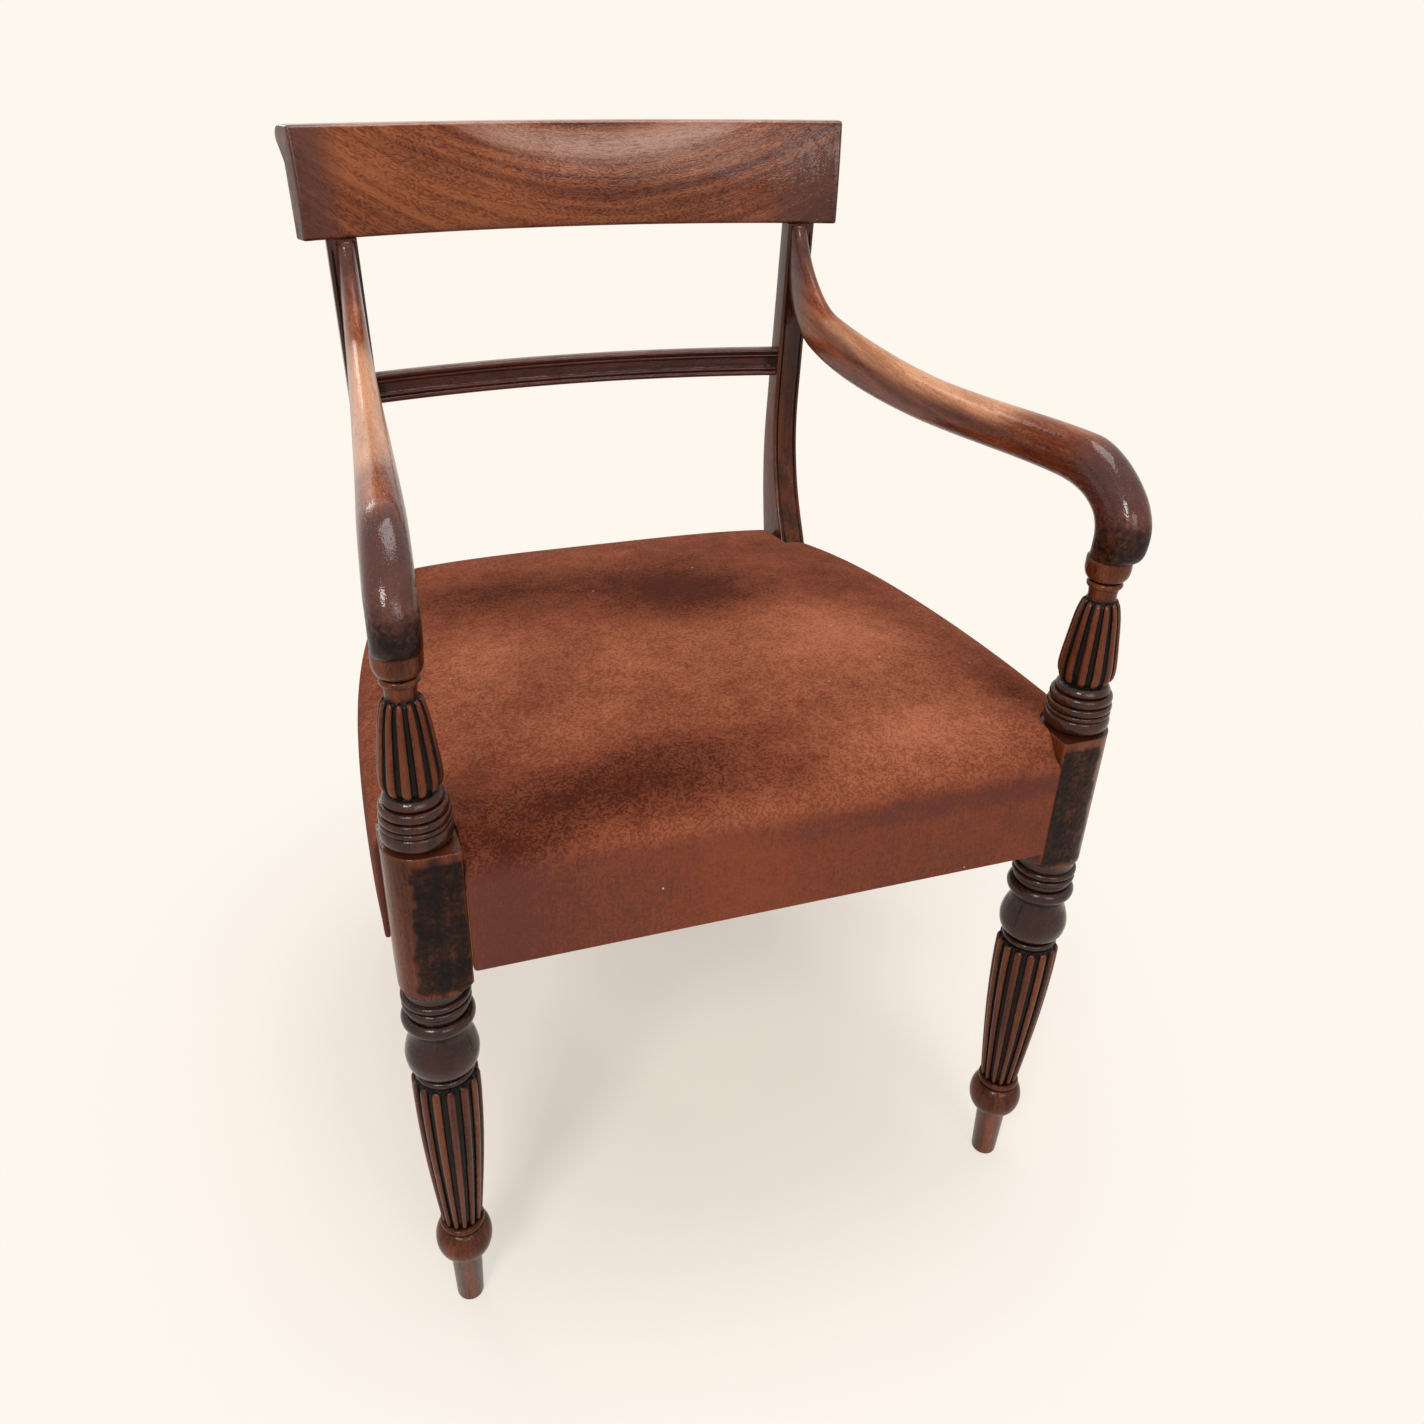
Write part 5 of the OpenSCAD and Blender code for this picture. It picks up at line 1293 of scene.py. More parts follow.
@dataclass
class BackRails:
    """The crest rail with its rolled bead, and the thin beaded rail half way down the back."""

    place: Place
    finishes: Finishes
    top: float = 860.0
    crest_h: float = 90.4
    crest_r: float = 780.0
    crest_l: float = 508.0
    thick: float = 18.5
    lean: float = 8.3
    swell: float = 3.5
    roll: float = 9.0
    mid_top: float = 648.5
    mid_h: float = 27.5
    mid_t: float = 13.5
    mid_r: float = 900.0
    mid_end: float = 208.0
    mid_reach: float = 205.0
    mid_set: float = 5.5
    mid_bead: float = 2.6

    def crest_outline(self) -> np.ndarray:
        """Returns the crest rail's section as radius and height."""
        z0, roll_z = self.top - self.crest_h, self.top - self.roll
        roll_r = self.crest_r + self.lean + self.thick + 1.7

        def front(t: float) -> float:
            """Returns the front face's radius at a share of the height."""
            return self.crest_r + self.lean * t - self.swell * 4 * t * (1 - t)

        turn = np.radians(np.linspace(-75, 88, 20))
        points = [(self.crest_r + self.thick, z0)]
        back = np.linspace(0.1, 0.9, 8)[:, None]
        start = np.array([self.crest_r + self.thick, z0])
        end = np.array([self.crest_r + self.thick + self.lean * 0.78, roll_z - self.roll])
        points += [tuple(p) for p in start + (end - start) * back]
        points += [(roll_r + self.roll * math.cos(a), roll_z + self.roll * math.sin(a)) for a in turn]
        points += [(roll_r - k * 5.2, self.top) for k in (1, 2, 3)]
        points += [(front(1) + 2, self.top)]
        points += [(front(t), z0 + self.crest_h * t) for t in np.linspace(0.982, 0.018, 34)]
        points += [(self.crest_r + 1.6, z0), (self.crest_r + 7, z0), (self.crest_r + 12, z0)]
        return softened(points, 2.0)

    def crest_tones(self, along: np.ndarray, height: np.ndarray, radius: np.ndarray) -> np.ndarray:
        """Returns each point of the crest rail's dirt with painted shade, its wear with painted sheen, and
        its painted reflection.
        """
        up = (height - (self.top - self.crest_h)) / self.crest_h
        arc = height - self.top - 0.0012 * (along - 30) ** 2
        # A pale painted sheen over the upper middle that spreads to the right, and a lighter top edge.
        pale = hump(arc, -22, 17) * smooth(along, -170, -60) * smooth(-along, -235, -120)
        lip = smooth(up, 0.965, 0.99)
        broad = 0.34 * smooth(along, -120, 60) * smooth(-along, -245, -205)
        wear_and_sheen = np.maximum(np.maximum(pale * 0.75, broad), lip)
        # A dark purplish painted reflection at both ends, more to the right, and over the back and the lower
        # edge, with more gloss.
        gloss_and_reflection = np.maximum(smooth(along, 150, 250) * (1 - 0.5 * up), 0.75 * smooth(-along, 205, 250))
        gloss_and_reflection = np.maximum(gloss_and_reflection, 0.7 * smooth(radius, self.crest_r + 14, self.crest_r + 18))
        gloss_and_reflection = np.maximum(gloss_and_reflection, 0.45 * smooth(-up, -0.16, -0.02))
        # Darker at the end grain, and along the lower edge with painted shade.
        grime_and_shade = 0.3 * smooth(np.abs(along), 250, 254) + 0.3 * smooth(-up, -0.05, 0.0)
        return np.stack([np.clip(grime_and_shade, 0, 1), wear_and_sheen * (1 - 0.6 * gloss_and_reflection), gloss_and_reflection], -1)

    def mid_outline(self) -> np.ndarray:
        """Returns the middle rail's section as radius and height."""
        b, r, high = self.mid_bead, self.mid_r, self.mid_top
        low, face = self.mid_top - self.mid_h, self.mid_r + 2.4
        turn = np.radians(np.linspace(0, 180, 11))
        points = [(r + self.mid_t, low), (r + self.mid_t, high), (r + b, high)]
        points += [(r + b - b * math.sin(a), high - b + b * math.cos(a)) for a in turn]
        points += [(face, high - 2 * b - 0.4)]
        points += [(face - 1.3 * math.sin(a), high - 2 * b - 1.9 + 1.5 * math.cos(a)) for a in turn]
        points += [(face, high - 2 * b - 3.8), (face + 0.8, high - 2 * b - 4.6)]
        points += [(face + 0.8, low + 2 * b + 4.6), (face, low + 2 * b + 3.8)]
        points += [(face - 1.3 * math.sin(a), low + 2 * b + 1.9 + 1.5 * math.cos(a)) for a in turn]
        points += [(face, low + 2 * b + 0.4)]
        points += [(r + b - b * math.sin(a), low + b + b * math.cos(a)) for a in turn]
        points += [(r + b, low)]
        return softened(points, 1.2, 3, 50.0)

    def mid_tones(self, along: np.ndarray, height: np.ndarray, radius: np.ndarray) -> np.ndarray:
        """Returns each point of the middle rail's dirt with painted shade, its wear, and its painted
        reflection.
        """
        deep = smooth(radius, self.mid_r + 1.3, self.mid_r + 3.0) * (radius < self.mid_r + 6)
        edge = np.minimum(np.abs(height - self.mid_top), np.abs(height - self.mid_top + self.mid_h))
        hollow = deep * smooth(-edge, -11, -8)
        top = smooth(height, self.mid_top - 2.0, self.mid_top - 0.3)
        gloss_and_reflection = 0.5 + 0 * along
        # Dark in the sunk face between the beads, dirt and painted shade, and darker at the ends.
        grime_and_shade = np.clip(hollow * 0.75 + 0.3 * smooth(np.abs(along), 185, 205), 0, 1)
        return np.stack([grime_and_shade, 0.7 * top + 0.25 * (1 - deep), gloss_and_reflection], -1)

    def build(self) -> None:
        """Makes both rails."""
        BentRail("curved_crest_rail", "crest_rail", "mahogany", self.place, self.finishes.crest,
                 BACK_RUN + 33.4 - self.crest_r, math.asin(self.crest_l / 2 / self.crest_r),
                 self.crest_outline(), end_round=2.2, figure_bend=0.00125, figure_middle=30.0,
                 tones=self.crest_tones).build()
        centre = BACK_RUN + self.mid_set - math.sqrt(self.mid_r ** 2 - self.mid_reach ** 2)
        BentRail("beaded_middle_rail", "mid_rail", "dark_mahogany", self.place, self.finishes.dark, centre,
                 math.asin(self.mid_end / self.mid_r), self.mid_outline(), end_round=0.2,
                 tones=self.mid_tones).build()


@dataclass
class StuffedSeat:
    """The stuffed seat in its velvet cover, with a crowned top, a rolled edge and a turned-in skirt."""

    place: Place
    finish: Material
    front_y: float = -27.5
    back_y: float = 492.0
    half_w: float = 277.5
    curve_y: float = 70.0
    taper_run: float = 480.0
    ring_r: float = 25.3
    post_x: float = 199.5
    side_end: float = 436.5
    hem_z: float = 374.0
    notch_low: float = 441.5
    side_top: float = 452.0
    lap: float = 2.6
    front_corner: float = 2.6
    back_corner: float = 3.0
    shoulder: float = 468.0
    crown_rise: float = 20.0
    crown_power: float = 2.2
    corner_fall: float = 18.0
    cover: float = 1.8
    turn_under: float = 14.0
    small_turn: float = 2.4
    swell: float = 1.5
    pad_bottom: float = 446.1
    step: float = 4.8
    roll_share: float = 0.1
    crown_half: tuple[float, float] = (248.36, 259.75)
    crown_y: float = 232.25
    plump: float = 4.0
    pad_steps: int = 56
    frames: int = 20
    net_pitch: tuple[float, float] = (5.6, 16.0)
    shares: tuple[float, ...] = (0.997, 0.992, 0.985, 0.976, 0.966, 0.955, 0.943, 0.93, 0.915, 0.9, 0.884,
                                 0.867, 0.849, 0.83, 0.81, 0.79)
    # Where the pile lies another way: a patch's middle across and deep, its two reaches, and how much.
    patches: tuple = (
        (40, 290, 80, 50, -0.52), (-35, 345, 120, 45, -0.24), (-101, 22, 95, 42, -0.46),
        (-205, -20, 45, 50, -0.4), (-150, 370, 90, 45, -0.24), (140, -60, 110, 20, -0.25),
        (245, 60, 30, 60, -0.25), (-142, 235, 55, 45, 0.16), (150, 190, 75, 60, 0.3),
        (-34, 175, 90, 50, 0.08), (-32, -45, 75, 20, 0.4), (130, 30, 70, 40, 0.24),
        (60, 400, 90, 50, -0.16), (190, 300, 50, 90, -0.18), (-128, 110, 60, 40, 0.06),
    )

    @property
    def middle(self) -> np.ndarray:
        """Returns the crown's middle in plan."""
        return np.array([0.0, self.crown_y])

    def half_width(self, depth: np.ndarray | float) -> np.ndarray:
        """Returns the seat's half width at a depth."""
        share = np.maximum(0, np.asarray(depth, float) - self.curve_y) / self.taper_run
        return self.half_w * (1 - share ** 2) ** 0.25

    def count(self, length: float) -> int:
        """Returns how many steps a run of the outline has."""
        return max(2, round(length / self.step))

    def hem(self, inside: np.ndarray, ease: float = 4.0,
            clear: float = 14.0) -> tuple[np.ndarray, np.ndarray]:
        """Returns the width turned under and the wall's swell at distances in from a run's ends."""
        turn = np.where(inside > clear, self.turn_under, self.small_turn)
        return turn, self.swell * smooth(inside, ease, 30)

    def run(self, x: object, y: object, low: float, top: object, turn: object = None, swell: object = 0.0,
            brim: tuple[np.ndarray, np.ndarray] | None = None) -> np.ndarray:
        """Returns the outline's rows for a run of points.

        Args:
            x: The wall's places across.
            y: The wall's depths.
            low: The wall's lowest height.
            top: The wall's highest height.
            turn: The width turned under, small where it isn't given.
            swell: How far the wall swells out.
            brim: The brim's places and depths, where they aren't the wall's.

        Returns:
            Rows of wall x and y, brim x and y, lowest and highest height, width turned under, and swell.
        """
        turn = self.small_turn if turn is None else turn
        columns = np.broadcast_arrays(x, y, *(brim or (x, y)), low, top, turn, swell)
        return np.stack(np.atleast_1d(*columns), -1)

    def front_half(self) -> list[np.ndarray]:
        """Returns the outline's runs from the middle of the front, round the right front leg, to the side."""
        hem_z, notch_z, top, ring_r = self.hem_z, self.notch_low, self.side_top, self.ring_r
        corner, brim_z = self.front_corner, BLOCK_TOP + self.lap
        notch_x = LEG_X - ring_r
        edge_x = notch_x + 0.27
        front_x = np.linspace(0, notch_x - corner, self.count(notch_x))[:-1]
        y = np.linspace(self.front_y + corner + 1.4, -4, 6)
        rise = top + (brim_z - top) * smooth(y, self.front_y + 2, -2)
        turn = np.radians(np.linspace(180, 90, 9))
        c, s = np.cos(turn), np.sin(turn)
        flat = ring_r / np.maximum(np.abs(c), np.abs(s))
        side_x = np.linspace(LEG_X + 4, self.half_w - 7, 5)
        fall = brim_z - 17 * smooth(side_x, LEG_X + 6, self.half_w - 2)
        return [
            self.run(front_x, self.front_y, hem_z, top, *self.hem(notch_x - front_x, 2, 12)),
            self.run(*arc(edge_x - corner, self.front_y + corner, corner, -90, 0, 5), hem_z, top),
            self.run(edge_x, y[:1], hem_z, rise[:1]),
            self.run(notch_x, y[1:], notch_z, rise[1:]),
            self.run(LEG_X + flat * c, flat * s, notch_z, brim_z, brim=(LEG_X + ring_r * c, ring_r * s)),
            self.run(side_x[:3], ring_r, notch_z, fall[:3]),
            self.run(LEG_X + ring_r - 3, ring_r, hem_z, fall[4]),
            self.run(*arc(self.half_w - corner, ring_r + 2.05, corner, -90, 0, 5), hem_z,
                     np.linspace(top + 5, top + 2, 5)),
        ]

    def back_half(self) -> list[np.ndarray]:
        """Returns the outline's runs from the side, round the right back post, to the middle of the back."""
        hem_z, notch_z, top = self.hem_z, self.notch_low, self.side_top
        end, post_x, corner = self.side_end, self.post_x, self.back_corner
        side_y = np.linspace(self.ring_r + 8, end - corner, self.count(end - self.ring_r))[:-1]
        inside = np.minimum(side_y - self.ring_r, end - side_y)
        end_x = float(self.half_width(end - corner))
        back_x = np.linspace(post_x - 6, 0, self.count(post_x))
        return [
            self.run(self.half_width(side_y), side_y, hem_z, top, *self.hem(inside)),
            self.run(*arc(end_x - corner, end - corner, corner, 0, 90, 5), hem_z, top),
            self.run(np.linspace(end_x - 7, post_x + 3, 4), end, notch_z, top + 5),
            self.run([post_x + 0.8, post_x], [end, end + 0.8], notch_z, top + 6),
            self.run(post_x, np.linspace(end + 3, self.back_y - 7, 10), notch_z,
                     np.linspace(top + 6, top + 1, 10)),
            self.run(*arc(post_x - corner, self.back_y - corner, corner, 0, 90, 5), hem_z, top),
            self.run(back_x, self.back_y, hem_z, top, *self.hem(post_x - back_x)),
        ]

    def outline(self) -> np.ndarray:
        """Returns the whole outline, anticlockwise seen from above."""
        half = np.concatenate(self.front_half() + self.back_half())
        mirrored = half[-2:0:-1].copy()
        mirrored[:, [0, 2]] *= -1
        return np.concatenate([half, mirrored])

    def round_square(self, directions: np.ndarray) -> np.ndarray:
        """Returns how far the crown's rounded square reaches in each direction from its middle."""
        d = directions / (np.linalg.norm(directions, axis=-1, keepdims=True) + 1e-9)
        a, b = self.crown_half
        return (np.abs(d[..., 0] / a) ** 4 + np.abs(d[..., 1] / b) ** 4) ** -0.25

    def own(self, share: np.ndarray | float) -> np.ndarray:
        """Returns how far a ring at a share follows the outline rather than the rounded square."""
        return np.maximum(0, 1 - (1 - np.asarray(share, float)) / 0.3)

    def height(self, share: np.ndarray, points: np.ndarray) -> np.ndarray:
        """Returns the top's height inside the rolled edge."""
        inside = 1 - np.clip(share / (1 - self.roll_share), 0, 1) ** self.crown_power
        back = np.maximum(0, (points[:, 1] - self.crown_y) / self.crown_half[1])
        fall = self.corner_fall * np.abs(points[:, 0] / self.half_w) ** 4 * back ** 4
        rise = self.crown_rise - self.plump
        return self.shoulder + rise * inside - fall

    def top_ring(self, outline: np.ndarray, share: float) -> np.ndarray:
        """Returns the ring of the top at a share of the way out from the middle."""
        p = outline[:, 2:4] - self.middle
        own = float(self.own(share))
        square = p / np.linalg.norm(p, axis=1, keepdims=True) * self.round_square(p)[:, None]
        points = (own * p + (1 - own) * square) * share + self.middle
        top = outline[:, 5]
        base = np.minimum(top, self.shoulder)
        u = min(1.0, (1 - share) / self.roll_share)
        z = base + (self.shoulder - base) * math.sqrt(1 - (1 - u) ** 2)
        z = z + np.maximum(0, top - self.shoulder) * float(smooth(share, 0.8, 1.0))
        inner = self.height(np.full(len(points), share), points) - self.shoulder
        return np.column_stack([points, z + inner])

    def reach(self, rim: np.ndarray, points: np.ndarray) -> tuple[np.ndarray, np.ndarray]:
        """Returns how far points lie from the middle, and how far the rim lies in the same directions."""
        p, rim = points - self.middle, rim - self.middle
        rim_angle = np.arctan2(rim[:, 1], rim[:, 0])
        order = np.argsort(rim_angle)
        rim_far = np.hypot(rim[:, 0], rim[:, 1])
        angle = np.arctan2(p[:, 1], p[:, 0])
        edge = np.interp(angle, rim_angle[order], rim_far[order], period=2 * math.pi)
        return np.hypot(p[:, 0], p[:, 1]), edge

    def share_at(self, points: np.ndarray, outline: np.ndarray) -> np.ndarray:
        """Returns the share of the way out at which each point of the top lies."""
        far, reach = self.reach(outline[:, 2:4], points)
        square = self.round_square(points - self.middle)
        low, high = np.zeros(len(points)), np.ones(len(points))
        for _ in range(30):
            s = (low + high) / 2
            own = self.own(s)
            inside = s * (own * reach + (1 - own) * square) < far
            low, high = np.where(inside, s, low), np.where(inside, high, s)
        return (low + high) / 2

    def skirt(self, outline: np.ndarray) -> list[np.ndarray]:
        """Returns the outer rings from the turned-in hem up to the brim."""
        wall, brim = outline[:, :2], outline[:, 2:4]
        low, top, turn, swell = outline[:, 4:].T
        hem = ((turn, 0), (turn * 0.55 + 0.4, 0), (1.3, 0), (0.45, 0.3), (0.05, 1.2))
        rings = [drawn_in(wall, inset, low + up) for inset, up in hem]
        for f in np.linspace(0.06, 1, 15):
            belly = -swell * math.sin(math.pi * f) ** 0.7
            rings.append(drawn_in(wall, belly, low + 1.2 + (top - 2.2 - low - 1.2) * f))
        return rings + [np.column_stack([brim, top - down]) for down in (1.7, 0.5)]

    def lining(self, outline: np.ndarray) -> list[np.ndarray]:
        """Returns the inner rings from the stuffing's underside down inside the skirt to its hem."""
        wall, low, turn = outline[:, :2], outline[:, 4] + self.cover, outline[:, 6]
        c, bottom = self.cover, self.pad_bottom
        return [drawn_in(wall, inset, z) for inset, z in (
            (c + 0.4, bottom), (c + 0.1, bottom - 1), (c, (low + bottom) / 2), (c + 0.1, low + 1.2),
            (np.minimum(c + 0.6, turn), low), (turn, low))]

    def base_mesh(self) -> tuple[np.ndarray, list[list[int]], np.ndarray]:
        """Returns the seat's points, its faces, and how free each point is to swell."""
        outline = self.outline()
        n = len(outline)
        rings = self.lining(outline) + self.skirt(outline)
        closed = len(rings)
        rings += [self.top_ring(outline, s) for s in self.shares]
        m = len(rings)
        faces = ring_faces(m, n)
        net, triangles = self.fill(rings[-1][:, :2], self.net_pitch[0])
        top = np.column_stack([net, self.height(self.share_at(net, outline), net)])
        faces += [[(m - 1) * n + i for i in face] for face in triangles]
        net, triangles = self.fill(rings[0][:, :2], self.net_pitch[1])
        under = np.column_stack([net, np.full(len(net), self.pad_bottom)])
        shift = m * n + len(top) - n
        faces += [[i if i < n else i + shift for i in face[::-1]] for face in triangles]
        points = np.concatenate([*rings, top, under])
        free = np.zeros(len(points))
        free[closed * n:m * n] = np.repeat(smooth(0.97 - np.array(self.shares), 0, 0.12), n)
        free[m * n:m * n + len(top)] = 1.0
        return points, faces, free

    def fill(self, rim: np.ndarray, pitch: float) -> tuple[np.ndarray, list[list[int]]]:
        """Fills a ring with an even net of triangles, seen in plan.

        Args:
            rim: The ring's points.
            pitch: The net's pitch.

        Returns:
            The new points, and triangles that count the ring's points first.
        """
        rows = []
        for k, y in enumerate(np.arange(self.front_y, self.back_y, pitch * 0.866)):
            x = np.arange(-300, 300, pitch) + (k % 2) * pitch / 2
            rows.append(np.column_stack([x, np.full(len(x), y)]))
        net = np.concatenate(rows)
        far, reach = self.reach(rim, net)
        net = net[far < reach - 0.55 * pitch]
        every = [Vector(v) for v in np.concatenate([rim, net])]
        _, _, faces, origin, _, _ = delaunay_2d_cdt(every, [], [list(range(len(rim)))], 1, 1e-4)
        same = [ids[0] for ids in origin]
        return net, [[same[i] for i in face] for face in faces]

    def pad_half(self, depth: np.ndarray) -> np.ndarray:
        """Returns the pad's half width at a depth, short of the seat's rounded back corners."""
        return np.maximum(self.half_width(np.minimum(depth, self.back_y - 30)), 0.8 * self.half_w)

    def pad(self) -> tuple[bpy.types.Object, np.ndarray]:
        """Makes a light closed pad with the top's shape, for the cloth simulation.

        Returns:
            The pad, and which of its points are held.
        """
        n = self.pad_steps + 1
        v, u = (t.ravel() for t in np.meshgrid(*[np.linspace(-1, 1, n)] * 2, indexing="ij"))
        y = self.crown_y + v * self.crown_half[1]
        rim = np.maximum(np.abs(u), np.abs(v))
        top = self.shoulder + (self.crown_rise - self.plump * 0.5) * (1 - rim ** self.crown_power)
        index = np.arange(n * n).reshape(n, n)
        quads = np.stack([index[:-1, :-1], index[:-1, 1:], index[1:, 1:], index[1:, :-1]], -1).reshape(-1, 4)
        loop = np.concatenate([index[0, :-1], index[:-1, -1], index[-1, :0:-1], index[:0:-1, 0]])
        below = n * n
        faces = quads.tolist() + (quads[:, ::-1] + below).tolist()
        faces += [[int(a), int(a) + below, int(b) + below, int(b)] for a, b in zip(loop, np.roll(loop, -1))]
        x = u * self.pad_half(y)
        points = np.concatenate([np.column_stack([x, y, z]) for z in (top, np.full(below, self.pad_bottom))])
        pad = mesh_object("stuffing_pad", self.place.metres(points), faces, self.finish)
        return pad, np.concatenate([rim > 0.97, np.ones(below, bool)])

    def swelling(self) -> np.ndarray:
        """Returns how far each point of the pad's top rises under pressure as simulated cloth, in mm."""
        pad, held = self.pad()
        before = mesh_points(pad.data)
        pad.vertex_groups.new(name="held").add(np.flatnonzero(held).tolist(), 1.0, "REPLACE")
        modifier = pad.modifiers.new("stuffing", "CLOTH")
        cloth = modifier.settings
        cloth.quality = 4
        cloth.vertex_group_mass = "held"
        cloth.use_pressure = True
        cloth.uniform_pressure_force = 4.0
        cloth.effector_weights.gravity = 0.0
        modifier.collision_settings.use_collision = False
        scene = bpy.context.scene
        for number in range(1, self.frames + 1):
            scene.frame_set(number)
        settle(pad)
        rise = (mesh_points(pad.data) - before)[:len(before) // 2, 2] / MM
        bpy.data.objects.remove(pad)
        scene.frame_set(1)
        least, most = float(rise.min()), float(rise.max())
        log.info("the stuffing rises by %.1f to %.1f mm before its limit", least, most)
        return np.clip(rise, 0, None).reshape(self.pad_steps + 1, -1)

    def plumped(self, piece: bpy.types.Object, free: np.ndarray) -> None:
        """Swells the stuffed top as the simulated pad does, no further than its limit."""
        rise = self.swelling()
        points = mesh_points(piece.data)
        x, y, _ = self.place.chair(points).T
        y = np.clip(y, self.crown_y - self.crown_half[1], self.crown_y + self.crown_half[1])
        u, v = np.clip(x / self.pad_half(y), -1, 1), (y - self.crown_y) / self.crown_half[1]
        across, along = ((1 + t) / 2 * self.pad_steps for t in (u, v))
        i, j = (np.minimum(t.astype(int), self.pad_steps - 1) for t in (along, across))
        a, b = along - i, across - j
        steps = ((0, 0), (1, 0), (0, 1), (1, 1))
        lift = sum(rise[i + p, j + q] * (a if p else 1 - a) * (b if q else 1 - b) for p, q in steps)
        points[:, 2] += self.plump * np.tanh(lift / self.plump) * free * MM
        piece.data.vertices.foreach_set("co", points.astype(np.float32).ravel())

    def nap_and_shade(self, points: np.ndarray) -> tuple[np.ndarray, np.ndarray]:
        """Returns which way the pile lies at each point, with painted shade on the left side and under the
        front roll, and how upright the cover is there.
        """
        x, y, z = points.T
        nap_and_shade = np.full(len(x), 0.5)
        for cx, cy, rx, ry, amount in self.patches:
            nap_and_shade += amount * np.exp(-((x - cx) / rx) ** 2 - ((y - cy) / ry) ** 2)
        # Painted shade on the seat's left side.
        nap_and_shade -= 0.4 * smooth(-x, 252, 262) * smooth(-z, -458, -446)
        # Painted shade along the front face under the roll, over its right half.
        nap_and_shade -= 0.22 * smooth(x, -60, 60) * smooth(-y, 8, 16) * smooth(z, 428, 436) * smooth(-z, -452, -446)
        return np.clip(nap_and_shade, 0, 1), smooth(-z, -466, -446)

    def build(self) -> bpy.types.Object:
        """Makes the seat."""
        points, faces, free = self.base_mesh()
        seat = mesh_object("velvet_seat", self.place.metres(points), faces, self.finish)
        self.plumped(seat, free)
        smoother = seat.modifiers.new("smooth", "SUBSURF")
        smoother.levels = smoother.render_levels = 1
        settle(seat)
        nap_and_shade, upright = self.nap_and_shade(self.place.chair(mesh_points(seat.data)))
        write_mark(seat.data, "nap_and_shade", nap_and_shade)
        write_mark(seat.data, "upright", upright)
        finish_piece(seat, "velvet", "seat_cover", "seat_stuffing", sharp=None)
        return seat


class Tacking(GeometryTree):
    """Sets domed tack heads at points."""

    def __init__(self) -> None:
        """Builds the node tree."""
        super().__init__("tacking", {"Radius": "Float", "Height": "Float", "Spread": "Float", "Seed": "Int"})
        tree, given = self.tree, self.given
        values = {"Segments": 12, "Rings": 6, "Radius": given["Radius"]}
        dome = tree.node("GeometryNodeMeshUVSphere", values).outputs[0]
        squash = tree.joined(1.0, 1.0, tree.math("DIVIDE", given["Height"], given["Radius"]))
        flat = tree.node("GeometryNodeTransform", {"Geometry": dome, "Scale": squash}).outputs[0]
        low, high = (tree.joined(*[tree.times(given["Spread"], sign)] * 3) for sign in (-1.0, 1.0))
        values = {0: low, 1: high, "Seed": given["Seed"]}
        lean = tree.node("FunctionNodeRandomValue", values, data_type="FLOAT_VECTOR").outputs[0]
        values = {"Points": given["Geometry"], "Instance": flat, "Rotation": lean}
        self.end(tree.node("GeometryNodeInstanceOnPoints", values).outputs[0])

    def drive(self, name: str, node: str, points: np.ndarray, finish: Material, radius: float = 3.4,
              height: float = 1.1) -> bpy.types.Object:
        """Makes one piece of tack heads.

        Args:
            name: The piece's name.
            node: The CAD node that it stands for.
            points: The heads' places in metres.
            finish: Their finish.
            radius: A head's radius in millimetres.
            height: A head's height in millimetres.

        Returns:
            The new piece.
        """
        mesh = bpy.data.meshes.new(name)
        mesh.from_pydata(points.tolist(), [], [])
        piece = add_object(name, mesh)
        values = {"Radius": radius * MM, "Height": height * MM, "Spread": 0.09, "Seed": 7, "Finish": finish}
        self.run(piece, values)
        return finish_piece(piece, "iron", node, sharp=None)


@dataclass
class Tacks:
    """The tacks under the rails that hold the cover, and those that hold the webbing."""

    place: Place
    finish: Material
    seat: StuffedSeat
    web_w: float = 50.0
    web_pitch: float = 75.0
    web_t: float = 1.2
    web_in: float = 7.0
    rail_inset: float = 3.0
    back_rail_y: float = 463.7

    def cover_points(self) -> np.ndarray:
        """Returns the places of the tacks under the rails."""
        s = self.seat
        inside, z = s.turn_under / 2, s.hem_z - 0.1
        notch = LEG_X - s.ring_r
        points = [(k * (notch - 40) / 6, s.front_y + inside, z) for k in range(-6, 7)]
        points += [(k * (s.post_x - 40) / 4, s.back_y - inside, z) for k in range(-4, 5)]
        for k in range(9):
            y = s.ring_r + 45 + k * (s.side_end - s.ring_r - 90) / 8
            points += [(side * (float(s.half_width(y)) - inside), y, z) for side in (-1, 1)]
        return np.array(points)

    def webbing_points(self) -> np.ndarray:
        """Returns the places of the tacks in the webbing's ends."""
        at = (-self.web_w / 3, 0.0, self.web_w / 3)
        ends = (self.web_in - 17, self.back_rail_y + 18 - self.web_in)
        low, high = RAIL_TOP + self.web_t, RAIL_TOP + 2 * self.web_t + 0.2
        points = [(k * self.web_pitch + dx, y, low) for k in range(-2, 3) for dx in at for y in ends]
        for k in range(-2, 3):
            y = self.seat.crown_y - 8 + k * self.web_pitch
            half = float(self.seat.half_width(y + self.web_w / 2)) - self.rail_inset - self.web_in
            points += [(side * (half - 8), y + dy, high) for dy in at for side in (-1, 1)]
        return np.array(points)

    def build(self) -> None:
        """Makes both sets of tacks."""
        tacking = Tacking()
        for held, points in (("cover", self.cover_points()), ("webbing", self.webbing_points())):
            tacking.drive(f"{held}_tack_heads", f"{held}_tacks", self.place.metres(points), self.finish)


